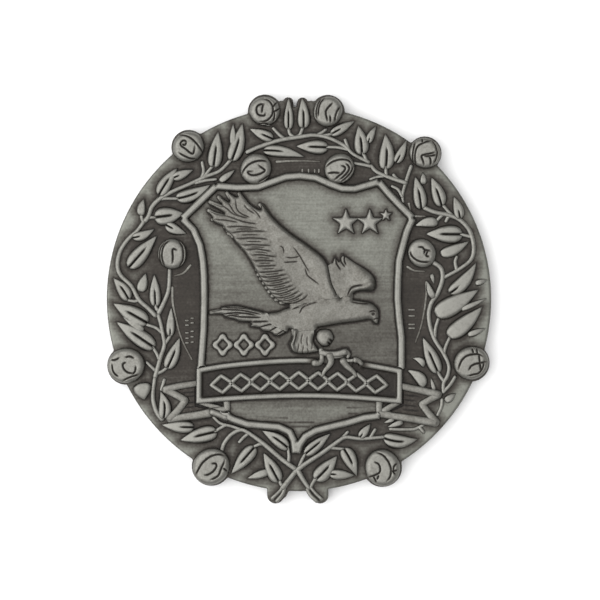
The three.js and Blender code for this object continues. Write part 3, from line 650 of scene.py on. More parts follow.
# The blank with its rose and stem lobes, and the shield's plate.
roses = {  # each bloom's centre, and the radius of its lobe where it stands past the disc
    "rose_01": ((-14.35, 19.75), 2.25), "rose_02": ((-4.45, 24.4), 2.2), "rose_03": ((-5.6, 16.9), 0),
    "rose_04": ((-16.45, 5.85), 0), "rose_05": ((3.75, 24.35), 2.2), "rose_06": ((5.25, 16.95), 0),
    "rose_07": ((16.35, 18.95), 2.2), "rose_08": ((15.95, 5.95), 0), "rose_09": ((-22.45, -8.65), 2.5),
    "rose_10": ((22.35, -8.3), 2.45), "rose_11": ((-11.4, -21.75), 2.55),
    "rose_12": ((10.85, -21.9), 2.55),
}
blank = {
    "discRadius": 25, "rimRound": 0.3, "rimDrop": 0.2, "spacing": 0.27, "samples": 1400,
    "bumps": [((-3.05, -25.5), 1.1), ((2.75, -25.5), 1.1), ((-2.55, -25.0), 1.1), ((2.3, -25.0), 1.1),
              ((-1.4, 25.55), 0.7), ((0.45, 25.5), 0.72), ((-2.3, 25.0), 0.8), ((1.6, 25.0), 0.8)],
    # inset, level and reach of each ring down the edge and in to the sunk back
    "foot": [(0, 0.25, far), (0.08, 0.07, far), (0.26, 0, far), (0.27, 0, 23.6), (0.27, 0.06, 23.45),
             (0.27, 0.16, 23.3)],
    "insets": (0.1, 0.22, 0.4), "halo": 1.1, "haloDark": 0.7, "seam": 0.38, "seamDark": 1,
    "wreathDark": 0.62, "wreathEdge": (19.6, 22.4), "ringDark": 0.68, "ringEdge": (15.6, 18.6),
    "borderBright": 0.17, "borderEdge": (22.5, 24), "edgeDark": 0.45, "edgeWidth": 0.5,
}
plate = {
    "spacing": 0.22, "insets": (0.1,), "halo": 0.75, "haloDark": 0.38, "seam": 0.24, "seamDark": 0.9,
    # darker from the first level of the shade down to its second, and lighter again below
    "shade": (9.0, -6.5), "shadeDark": 0.34, "lighter": (-13, -14.5), "lighterShare": 0.55, "tarnish": 0.07,
    "grooves": [[(-5.5, -15.35), (-1.5, -15.4)], [(-4.2, -15.95), (2, -16)], [(-1.5, -16.6), (1.8, -16.6)],
                [(6.3, -14.1), (10, -14)], [(6.5, -14.9), (9.7, -14.85)]],
    "grooveDepth": 0.05, "grooveWidth": 0.12, "grooveDark": 0.6,
}


def blankReach(angle):  # the furthest point of the outline that way
    way = np.array([math.cos(angle), math.sin(angle)])
    reach = blank["discRadius"]
    for centre, radius in [*roses.values(), *blank["bumps"]]:
        along = np.dot(way, centre)
        beside = np.dot(centre, centre) - along ** 2
        if along > 0 and beside < radius ** 2:
            reach = max(reach, along + math.sqrt(radius ** 2 - beside))
    return reach * way


motifs = [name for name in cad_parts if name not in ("coin_blank", "shield_field")]
rimTree = spotTree([loop for name in motifs for loop in footprint(name)], 0.2)


def besideMotifs(points, look):  # tarnish and painted shade gather where the motifs stand
    gap = np.array([rimTree.find((x, y, 0))[2] for x, y in points])
    return np.maximum(bell(gap, look["halo"]) * look["haloDark"],
                      bell(gap, look["seam"]) * look["seamDark"])


def blankShape(points, inset):
    radius = np.linalg.norm(points, axis=1)
    wreath = (1 - step(radius, *blank["wreathEdge"])) * blank["wreathDark"]
    ring = (1 - step(radius, *blank["ringEdge"])) * blank["ringDark"]
    edge = blank["edgeDark"] * (1 - rise(inset, blank["edgeWidth"]))
    # Tarnish and painted shade: dark around the motifs, over the wreath and the ring inside it, and on the
    # sloping edge; lighter on the outer border.
    dark = np.max([besideMotifs(points, blank), wreath, ring, edge], axis=0)
    dark -= blank["borderBright"] * step(radius, *blank["borderEdge"])
    return -blank["rimDrop"] * (1 - rise(inset, blank["rimRound"])), dark


def plateShape(points, inset):
    shade = step(points[:, 1], *plate["shade"]) * plate["shadeDark"]
    shade *= 1 - plate["lighterShare"] * step(points[:, 1], *plate["lighter"])
    cut = np.zeros(len(points))
    for line in plate["grooves"]:
        cut = np.maximum(cut, bell(lineDistance(points, line)[0], plate["grooveWidth"]))
    # Tarnish and painted shade around the motifs and in the grooves; the field darker toward the bottom and
    # lighter again at the very bottom.
    dark = np.max([besideMotifs(points, plate), shade, cut * plate["grooveDark"]], axis=0)
    return -plate["grooveDepth"] * cut, dark + plate["tarnish"]


turns = np.linspace(0, 2 * math.pi, blank["samples"], endpoint=False)
blankOutline = np.array([blankReach(angle) for angle in turns])
for name, node, outlines, level, shape, look, foot in (
        ("blank_body", "coin_blank", [blankOutline], ground, blankShape, blank, blank["foot"]),
        ("shield_plate", "shield_field", footprint("shield_field"), field, plateShape, plate,
         [(0, ground - sink, far)])):
    mesh = reliefMesh(name, outlines, level, shape, look["spacing"], look["insets"], foot)
    finished(name, mesh, [node], "ground")
print("blank and plate made")


# Shield border and ribbon.
border = {"rim": 0.42, "height": 0.95, "round": 0.36, "rimDark": 0.06, "grow": 0.1, "gap": 0.22,
          "joins": ["banner_panel", "banner_fold_left", "banner_fold_right"],
          "spacing": 0.16, "corners": 0, "insets": (0.05, 0.12, 0.2, 0.3, 0.4)}
for name, node in (("top", "upper"), ("foot", "lower")):
    reliefPiece("shield_border_" + name, "shield_border_" + node, ground, border)
joint = {"height": 1.9, "flatness": 0.35, "tarnish": 0.06,
         "lines": [([(-11.35, -14.65), (-10.5, -14.95), (-9.4, -15.4)], 1.0, 1.05)]}
growBars("shield_border_joint", joint["lines"], joint, ground, ["shield_border_lower"])

# The talons grip the ribbon: each toe and knuckle as (points, width at its start, width at its end).
talons = {
    "lift": 0.55, "height": 1.1, "flatness": 0.4, "tarnish": 0.12, "shadow": 0.28,
    "toes": [
        ([(2.85, -6.6), (2.95, -7.3), (2.95, -7.9)], 0.66, 0.66),
        ([(3, -7.9), (2.6, -8.3), (2, -8.3)], 0.66, 0.95),
        ([(2.9, -6.95), (4, -7.15), (5.1, -7.1), (6, -6.85)], 0.8, 0.95),
        ([(6.1, -6.85), (6.45, -7.2), (6.3, -7.6)], 0.8, 0.4),
        ([(4.3, -7.45), (5, -7.45), (5.6, -7.35)], 0.65, 0.55),
        ([(4, -7.3), (4.15, -8.1), (3.85, -8.7), (3.35, -9.3), (3, -10)], 1.1, 0.4),
        ([(5.7, -8.05), (6.2, -8.7), (7, -9.4), (7.4, -10)], 1.05, 0.45),
        ([(5.8, -7.95), (6.6, -8.0), (7.4, -7.9)], 0.45, 0.55),
        ([(7.3, -7.9), (7.7, -8.0), (8.1, -8.4)], 0.85, 0.6),
    ],
}
panel = {"rim": 0.35, "height": 0.72, "round": 0.2, "rimDark": 0.05, "frame": (0.64, 0.86), "floor": 0.22,
         "joins": ["eagle_foot"], "gap": 0.25,
         "spacing": 0.17, "corners": 0, "insets": (0.04, 0.1, 0.2, 0.4, 0.64, 0.76),
         "shadows": [(line, max(start, end) / 2 + talons["shadow"]) for line, start, end in talons["toes"]]}
reliefPiece("ribbon_panel", "banner_panel", field, panel)

# Ribbon ends: a low dark sheet with thick rounded edges, and the fold that leads to it.
tail = {"rim": 0.05, "height": 0.1, "round": 0.15, "rimDark": 0.05, "tarnish": 0.62, "grooveWidth": 0.06,
        "grooveDepth": 0.04, "spacing": 0.13, "corners": 0}
ribbonEdge = {"height": 1.0, "flatness": 0.45, "tarnish": 0.14}
tailEdges = {
    "left": [([(-13.2, -10.95), (-15.5, -11.3), (-17.35, -11.75)], 0.93, 1.08),
             ([(-17.35, -11.8), (-16, -12.45), (-14.8, -13.15)], 1.03, 1.12),
             ([(-14.8, -13.2), (-15.7, -14.4), (-16.8, -15.55)], 1.12, 1.03),
             ([(-16.8, -15.65), (-15.2, -15.35), (-13.4, -15.1), (-11.7, -14.8)], 0.95, 1.3)],
    "right": [([(13.1, -11.3), (15.5, -11.8), (18.15, -12.4)], 1.03, 1.08),
              ([(18.1, -12.45), (17, -13.05), (15.95, -13.65)], 1.03, 0.97),
              ([(15.95, -13.7), (16.8, -14.8), (17.75, -15.95)], 0.97, 1.12),
              ([(17.7, -16.05), (15.5, -15.7), (13, -15.3), (11.2, -15.05)], 1.14, 1.03)],
}
foldEdges = {
    "left": [([(-13.0, -13.35), (-11.8, -13.75), (-10.3, -14.2)], 0.7, 0.85),
             ([(-11.6, -14.65), (-10.6, -14.45), (-9.5, -14.3)], 1.1, 0.95),
             ([(-9.4, -13.2), (-9.35, -13.9), (-9.35, -14.35)], 0.97, 0.97)],
    "right": [([(12.8, -13.45), (11.9, -13.95), (11, -14.55)], 0.93, 0.93),
              ([(10.45, -13.3), (10.4, -14.1), (10.45, -14.85)], 0.97, 0.97),
              ([(10.5, -14.95), (11.1, -15), (11.8, -15.05)], 1.03, 1.03)],
}
tailLines = {
    "left": [[(-13.5, y), (-13.5 - reach, y - 0.1)] for y, reach in
             ((-12.1, 1.6), (-12.6, 1.0), (-13.4, 0.9), (-14.0, 1.2))],
    "right": [[(13.6, y), (13.6 + reach, y - 0.15)] for y, reach in
              ((-12.5, 2.0), (-13.1, 1.5), (-13.8, 1.6), (-14.4, 1.9))],
}
for side in ("left", "right"):
    reliefPiece("ribbon_tail_" + side, "banner_tail_" + side, ground, tail | {"grooves": tailLines[side]})
    for name, edges in (("tail", tailEdges), ("fold", foldEdges)):
        growBars(f"ribbon_{name}_{side}_edge", edges[side], ribbonEdge, ground, [f"banner_{name}_{side}"])

chain = {"links": 9, "pitch": 2.5, "arch": 0.0045, "middle": -10.6, "lift": 0.08}
spots = [((i - (chain["links"] - 1) / 2) * chain["pitch"]) for i in range(chain["links"])]
links = pointCloud("links", [(x, chain["middle"] - chain["arch"] * x * x) for x in spots],
                   aim=[-2 * chain["arch"] * x for x in spots])
grown("ribbon_chain", links, linkMaker, {"Level": (field + panel["floor"] + chain["lift"]) * mm},
      ["banner_chain"])
print("shield border and ribbon made")


# Ornaments on the field.
star = {"rim": 0.2, "height": 0.5, "round": 0.5, "rimDark": 0.05, "grow": 0.1, "spacing": 0.1,
        "corners": 0, "insets": (0.04, 0.1, 0.2, 0.32)}
rosette = star | {"round": 0.25, "grow": 0.06, "corners": 1, "insets": (0.05, 0.12, 0.2)}
for number in (1, 2, 3):
    reliefPiece(f"field_star_{number}", f"star_{number}", field, star)
    reliefPiece(f"field_rosette_{number}", f"rosette_{number}", field, rosette)
print("field ornaments made")


# The eagle: what its parts share, then each part's node and what it has of its own.
plumage = {"round": 0.5, "rimDark": 0.08, "grooveWidth": 0.06, "grooveDepth": 0.1, "tarnish": 0.21,
           "joins": ["eagle_body"], "gap": 0.3, "spacing": 0.12, "corners": 2}
eagle = {
    "eagle_wing_near": ("eagle_near_wing", {
        "rim": 0.3, "height": 0.78, "grooveWidth": 0.055, "grooveDark": 0.55, "spacing": 0.13,
        "swells": [
            ([(4.4, 0.8), (3.4, 3), (2.3, 4.7), (0.6, 6.4), (-1.4, 7.9), (-3, 9.3), (-4.2, 10.8),
              (-4.6, 11.7)], 0.25, 1.3)],
        "grooves": [
            [(-9.4, 9.35), (-8, 9.42), (-6.8, 9.35), (-5.5, 9.2)],
            [(-8.9, 8.5), (-7.6, 8.75), (-6, 8.8), (-4.2, 8.75)],
            [(-8.1, 7.8), (-6.5, 7.9), (-5, 7.85), (-4.1, 7.75)],
            [(-7.4, 7), (-6, 7.05), (-5, 7), (-3.6, 6.95)],
            [(-6.9, 6.35), (-5.5, 6.5), (-4.6, 6.35), (-3.6, 6.2)],
            [(-6.2, 5.7), (-4.9, 5.75), (-4, 5.6), (-2.9, 5.5)],
            [(-5.9, 4.95), (-4.4, 5), (-3.2, 4.95)],
            [(-5.5, 4.25), (-4, 4.3), (-2.9, 4.35)],
            [(-5.3, 3.45), (-4.3, 3.5), (-3, 3.6), (-1.9, 3.8)],
            [(-5.1, 2.9), (-4, 2.85), (-3, 2.95), (-1.6, 3.2)],
            [(-4.7, 2.35), (-3.9, 2.3), (-2.9, 2.4), (-1.4, 2.7)],
            [(-4.3, 1.75), (-3.5, 1.75), (-2.4, 1.9), (-1, 2.3)],
            [(-4, 1.2), (-3, 1.2), (-2, 1.4), (-0.7, 1.8)],
            [(-3.6, 0.7), (-2.6, 0.65), (-1.6, 0.9), (-0.4, 1.4)],
            [(-3.2, 0.1), (-2, 0.2), (-1, 0.5), (0, 1)],
            [(-2.6, -0.3), (-1.4, -0.2), (-0.4, 0.15), (0.5, 0.7)],
            [(-1.9, -0.65), (-0.6, -0.5), (0.4, -0.1), (1.1, 0.45)],
            [(-9.2, 12.6), (-8.7, 11.75), (-8.2, 11.05), (-7.5, 10.7), (-6.6, 10.5)],
            [(-8.2, 12.9), (-8.05, 11.7), (-7.5, 11.1), (-6.9, 10.8), (-6.4, 10.6)],
            [(-10.1, 12.2), (-9.3, 11.7), (-8.6, 11.1), (-7.8, 10.75)],
            [(-9.6, 10.85), (-8.4, 10.45), (-7.3, 10.05), (-6.3, 9.85), (-5.5, 9.75)],
            [(-11, 10.3), (-9.8, 10.25), (-8.8, 10.1), (-8, 9.95)],
            [(-7.1, 12.2), (-6.6, 11.6), (-5.8, 11.1)], [(-6, 11.7), (-5.4, 11.1), (-5, 10.5)],
            [(-2.4, 6.85), (-2.05, 6.6), (-1.95, 6)], [(-1.6, 5.4), (-0.8, 5.35), (0, 5.5)],
            [(-1.9, 4.75), (-1, 4.8), (-0.2, 4.85)],
            [(-0.7, 6.7), (-0.1, 5.9), (0.4, 5.1), (0.9, 4.2), (1.3, 3.6)],
            [(0.8, 4), (1.1, 3.1), (1.8, 2.5), (2.6, 1.9)]],
    }),
    "eagle_wing_far": ("eagle_far_wing", {
        "rim": 0.25, "height": 0.44, "grooveWidth": 0.07, "grooveDepth": 0.15,
        "joins": ["eagle_body", "eagle_near_wing"], "gap": 0.62, "spacing": 0.13,
        "swells": [([(9.4, 1.9), (8.6, 1.45), (7.5, 1.3), (6.6, 0.95), (6.2, 0.2)], 0.3, 0.48),
                   ([(8.2, 3), (9.0, 2.3)], 0.3, 1.0)],
        "grooves": [[(4.8, 5.3), (4.9, 4.6), (5.4, 3.8)], [(5.3, 5.7), (5.45, 4.9), (5.95, 4.2)],
                    [(5.95, 5.7), (5.9, 5), (6.1, 4.5)], [(6.3, 0.5), (6.9, 1.55), (8.2, 1.85)]],
    }),
    "eagle_torso": ("eagle_body", {
        "rim": 0.3, "height": 0.84, "round": 0.7, "spacing": 0.14,
        "joins": ["eagle_near_wing", "eagle_far_wing", "eagle_tail", "eagle_near_leg"],
        "swells": [([(2, -2.1), (5, -1.8), (8.5, -1.6)], 0.12, 1.2)],
        "grooves": [[(9.45, -1.95), (9.6, -1.83), (9.78, -1.93), (9.62, -2.07), (9.45, -1.95)],
                    [(9.2, -1.65), (9.6, -1.55), (9.95, -1.6)], [(9.7, -2.7), (10.05, -2.5), (10.3, -2.5)],
                    [(0.1, -1.8), (0.5, -1.1), (1.3, -0.7), (2.3, -0.4)],
                    [(-0.8, -1.3), (0.1, -0.95), (1, -0.55)], [(6.9, -0.4), (8, -0.55), (9, -0.6)]],
    }),
    "eagle_plumes": ("eagle_tail", {
        "rim": 0.22, "height": 0.8, "round": 0.45, "grooveDepth": 0.16, "tarnish": 0.15,
        "grooves": [[(-10.2, -1.3), (-8.9, -1.38), (-7.5, -1.45), (-6, -1.75), (-5, -1.95)],
                    [(-9.9, -2), (-8.6, -1.82), (-7, -1.85), (-5.6, -2.1)],
                    [(-8.7, -2.15), (-7.8, -2.3), (-6.4, -2.35), (-5, -2.4)],
                    [(-9.4, -2.25), (-8.5, -2.1), (-7.8, -2.05)],
                    [(-7.3, -3), (-5.6, -2.95), (-4, -2.9)],
                    [(-5.2, -3.75), (-4.4, -3.45), (-3.4, -3.25), (-2.9, -3.25)],
                    [(-3.8, -4.2), (-3.2, -3.8), (-2.6, -3.5)], [(-2.8, -4.6), (-2.1, -4.15), (-1.7, -3.9)],
                    [(-9.4, -1.1), (-8.2, -1.15), (-7, -1.2)]],
    }),
    "eagle_leg": ("eagle_near_leg", {
        "rim": 0.3, "height": 0.8, "grooveDepth": 0.07, "grooveDark": 0.5, "tarnish": 0.16, "gap": 0.9,
        "swells": [([(-0.5, -4.2), (-0.7, -5.2), (-0.95, -6), (-0.75, -6.8)], 0.35, 0.3)],
        "grooves": [[(-0.2, -4.4), (-0.45, -5.2), (-0.6, -6)], [(0, -5.8), (-0.1, -6.5), (-0.3, -7.1)],
                    [(0.5, -4.5), (0.3, -5.3), (0.35, -5.8)], [(0.6, -6.1), (0.5, -6.7), (0.4, -7.2)],
                    [(1.1, -4.9), (1.05, -5.5), (1.15, -6.1)], [(1.1, -6.4), (1.2, -6.8), (1.1, -7.1)],
                    [(1.7, -5.4), (1.75, -6), (1.65, -6.5)]],
    }),
    "eagle_thigh": ("eagle_far_thigh", {
        "rim": 0.25, "height": 0.8, "round": 0.9, "rimDark": 0.1, "grow": 0.2, "tarnish": 0.12, "joins": [],
        "grooves": [[(4.9, -5.8), (4.3, -5.5), (4.0, -5.25)], [(4.4, -6.35), (4.0, -5.9), (3.8, -5.65)]],
        "grooveWidth": 0.1, "grooveDepth": 0.35, "grooveDark": 0.6,
    }),
}
# Feather tips: each as (points, width at its start, width at its end).
tips = {
    "lift": 0.3, "height": 0.9, "flatness": 0.25, "tarnish": 0.2,
    "feathers": [
        ([(-11.7, 11.5), (-11, 11.05), (-9.6, 10.6)], 0.6, 0.8),
        ([(-11.3, 10.3), (-10.4, 10.25)], 0.45, 0.6),
        ([(-11.55, 12.6), (-10.6, 12.15), (-9.4, 11.6)], 0.62, 0.85),
        ([(-10.45, 13.25), (-9.8, 12.6), (-8.9, 12)], 0.56, 0.85),
        ([(-9.35, 13.75), (-9, 13.3), (-8.2, 12.6)], 0.56, 0.85),
        ([(-7.75, 13.65), (-7.5, 13.2), (-7.1, 12.5)], 0.62, 0.9),
        ([(-5.1, 12.25), (-4.7, 11.9), (-4.3, 11.2)], 0.55, 0.8),
        ([(-11.4, -1.75), (-10.4, -1.62), (-9.4, -1.6)], 0.62, 0.8),
        ([(-9.65, 9.4), (-9.1, 9.05), (-8.4, 8.95)], 0.5, 0.6),
        ([(-9.2, 8.5), (-8.6, 8.3), (-8, 8.3)], 0.5, 0.6),
    ],
}
# Between each two long lines of the near wing: a shorter line, a low ridge and a feather's end.
between = {"lines": 17, "ridgeHeight": 0.05, "ridgeWidth": 0.2, "endWidths": (0.58, 0.4), "overhang": 0.12}
nearWing = eagle["eagle_wing_near"][1]
flights = nearWing["grooves"][:between["lines"]]
for first, second in zip(flights, flights[1:]):
    middle = (evenly(first, 5) + evenly(second, 5)) / 2
    nearWing["grooves"].append(middle[1:4])
    nearWing["swells"].append((middle, between["ridgeHeight"], between["ridgeWidth"]))
    end = middle[0] * (1 + between["overhang"]) - middle[1] * between["overhang"]
    tips["feathers"].append(([end, middle[1]], *between["endWidths"]))
for name, (node, look) in eagle.items():
    reliefPiece(name, node, field, plumage | look)
growBars("eagle_talons", talons["toes"], talons, field, ["eagle_foot"])
growBars("eagle_feather_tips", tips["feathers"], tips, field, ["eagle_near_wing", "eagle_tail"])
print("eagle made")


# Roses.
rose = {"rim": 0.5, "height": 1.1, "round": 0.8, "rimDark": 0.07, "grooveWidth": 0.075, "grooveDepth": 0.25,
        "grow": 0.2, "tarnish": 0.06, "spacing": 0.12, "corners": 2}
# The cut petal lines of each bloom, from its own centre.
petals = {
    "rose_01": [[(-1.3, 1.5), (-0.6, 1.5), (0.2, 1.2), (1, 0.5), (1.6, -0.3), (1.9, -0.8)],
                [(-0.25, 0.45), (-0.35, 0.75), (-0.7, 0.8), (-1, 0.45), (-0.9, 0.1), (-0.6, -0.1),
                 (-0.2, -0.4), (0.2, -0.75), (0.6, -0.9), (0.75, -0.5), (0.85, 0.05)],
                [(-0.25, 0.5), (-0.5, 0.2), (-0.75, 0.35)],
                [(-1.2, -0.8), (-0.5, -1.2), (0.2, -1.5), (0.9, -1.6)]],
    "rose_02": [[(-0.2, 1.6), (0.5, 1.35), (0.95, 0.8), (1.1, 0.1), (0.95, -0.55), (0.5, -1.1), (0, -1.35),
                 (-0.6, -1.45)],
                [(-0.05, 0.85), (-0.5, 0.85), (-0.95, 0.6), (-1.05, 0.1), (-0.9, -0.4), (-0.5, -0.6),
                 (-0.05, -0.6), (0.1, -0.35)],
                [(-0.2, 0.8), (-0.3, 0.3), (-0.35, -0.15)], [(1.05, 0.55), (1.6, 1.1)],
                [(1, -0.2), (1.5, 0.05), (1.9, 0.3)], [(1.3, -0.1), (1.25, -0.9), (1.1, -1.3)],
                [(-0.8, -1.7), (0, -1.6), (0.5, -1.8)]],
    "rose_03": [[(-1.9, -0.75), (-1.4, 0.05), (-0.8, 0.6), (0, 0.95), (0.8, 1.05), (1.5, 0.95)],
                [(0.4, 0.45), (0.75, 0.15), (1.2, -0.2), (0.9, -0.5), (0.3, -0.75), (-0.4, -0.85),
                 (-0.9, -0.65), (-1, -0.4), (-0.4, -0.35)],
                [(0.4, -1.7), (1, -1.35), (1.7, -0.9)]],
    "rose_04": [[(-1, 1.5), (-1.5, 0.8), (-1.65, 0), (-1.6, -0.9), (-1.35, -1.6)],
                [(-0.4, 1.75), (-1, 1.2), (-1.3, 0.3), (-1.3, -0.6), (-1, -1.7)],
                [(0.9, 1.6), (1.35, 0.9), (1.45, 0), (1.4, -0.8), (1, -1.6)],
                [(0.05, -1.2), (0.1, -0.3), (0.05, 0.3), (0.15, 0.65), (0.6, 0.5)]],
    "rose_05": [[(-0.9, 1.6), (-1.3, 0.9), (-1.5, 0), (-1.5, -0.9)],
                [(-0.45, 1.7), (-0.95, 1.1), (-1.2, 0.3), (-1.25, -0.6)],
                [(0.6, 1.05), (0.1, 0.55), (-0.25, 0), (-0.2, -0.6), (-0.05, -1.2)],
                [(0.3, -0.6), (0.35, -1.4)], [(1.6, 0.6), (1.2, 0), (0.95, -0.8), (0.95, -1.3)]],
    "rose_06": [[(-1.7, 0.3), (-1, 0.8), (-0.2, 1.1), (0.6, 1.15), (1.2, 1), (1.6, 0.6)],
                [(-1.5, -0.65), (-0.7, -0.55), (0, -0.6)],
                [(0.3, 0.35), (0.65, 0.2), (0.75, -0.1), (0.4, -0.6), (-0.1, -1), (-0.6, -1.5)],
                [(0.9, 0.6), (1.25, 0.2), (1.2, -0.3), (0.7, -0.9), (0.1, -1.45)],
                [(1.8, 0.2), (1.5, -0.5), (0.9, -1.2), (0.3, -1.7)]],
    "rose_07": [[(-1.3, 1.4), (-1.5, 0.5), (-1.6, -0.5), (-1.55, -1.4)],
                [(0.8, 1.6), (-0.1, 1.35), (-0.9, 0.9), (-1.25, 0.1), (-1.3, -0.9), (-1.2, -1.6)],
                [(-0.4, 1.8), (-0.3, 1.4)], [(0.9, 1.6), (1.4, 0.9), (1.5, 0.2)],
                [(1.3, 0.1), (0.6, -0.1), (0, -0.2), (-0.45, -0.4), (-0.3, -0.9), (-0.1, -1.6)],
                [(0, -0.4), (0.7, -0.38), (1.4, -0.25)], [(0.6, -0.5), (0.75, -1), (0.7, -1.6)],
                [(1.65, 0.4), (1.5, -0.6), (1.2, -1.3)]],
    "rose_08": [[(-1.55, 0.2), (-1.3, -0.4), (-0.6, -0.95), (0.2, -1.15), (1, -1.15)],
                [(-0.4, 0.8), (0.1, 0.75), (0.35, 0.45), (1.1, 0.3)], [(0.4, 0.4), (0.3, 0)],
                [(0.8, 0.35), (0.55, -0.3), (0.9, -0.45)]],
    "rose_09": [[(-1.9, 0.75), (-1.4, 0.75), (-0.9, 1)],
                [(-1.8, 0.2), (-1.7, -0.6), (-1.4, -1.1), (-1, -1.4)],
                [(0, 0.4), (-0.3, 0.3), (-0.4, 0), (-0.2, -0.5), (0.3, -0.9), (1, -1)],
                [(0, 1.1), (0.5, 1.2), (1, 1)], [(1.3, -0.1), (1.2, -0.7), (0.9, -1.1)],
                [(-0.4, -2), (0.1, -1.7), (0.8, -1.4), (1.7, -1.15)]],
    "rose_10": [[(-1.7, -0.9), (-1.4, 0), (-0.9, 0.7), (-0.2, 1.05), (0.8, 1.15), (1.5, 0.9)],
                [(0.1, 1.9), (0.3, 1.3)], [(0.7, 1.9), (0.8, 1.2)], [(1, 1.2), (1.1, 0.2), (1.3, -1.1)],
                [(-0.3, -0.9), (0, -0.4), (0.6, -0.1), (1.2, 0), (2, 0.2)],
                [(-0.4, -1.7), (0.3, -1.5), (1, -1.3), (1.5, -0.6), (1.7, 0.3)]],
    "rose_11": [[(-2, -1.1), (-1.6, -0.3), (-1, 0.6), (0, 1.35), (1, 1.6), (1.7, 1.45)],
                [(0.1, 0.4), (0.6, 0.4), (0.7, 0), (0.3, -0.6), (-0.3, -1), (-0.8, -1.1)],
                [(1.8, 0.8), (1.3, -0.3), (0.9, -1.2), (0, -1.7)], [(1.6, -0.2), (2.1, -0.6)]],
    "rose_12": [[(-0.7, 2), (0.1, 1.6), (0.8, 0.7), (1.1, -0.2), (1, -1.1), (0.6, -1.7)],
                [(-1, 0.75), (-0.5, 0.45), (-0.3, -0.1), (-0.4, -0.6), (-0.9, -0.9), (-1.4, -1.1),
                 (-1.9, -1.2)],
                [(-1.2, -1.1), (-0.8, -1.9)], [(-0.5, -1), (-0.7, -1.5)],
                [(1.9, 0.6), (1.5, 0.2), (1.4, -0.5), (1.7, -0.9)], [(1.2, -0.5), (1.9, -0.3)]],
}
for name, lines in petals.items():
    (cx, cy), _ = roses[name]
    cuts = [[(x + cx, y + cy) for x, y in line] for line in lines]
    reliefPiece(name.replace("_", "_bloom_"), name, ground, rose | {"grooves": cuts})
print("roses made")


# Wreath.
wreath = {"leafHeight": 0.52, "height": 0.95, "stemEnd": 0.58, "twigEnd": 0.5, "veinShare": 0.64,
          "fullness": 1.1}
cutEnds = {"height": 1.2, "start": 0.5, "end": 0.56, "lines": [
    [(-2.0, -24.3), (-2.6, -25.05), (-3.45, -25.85)], [(-1.85, -24.6), (-2.2, -25.4), (-2.85, -26.2)],
    [(1.6, -24.6), (2.2, -25.3), (2.9, -25.95)], [(1.05, -24.7), (1.5, -25.5), (2.3, -26.25)]]}
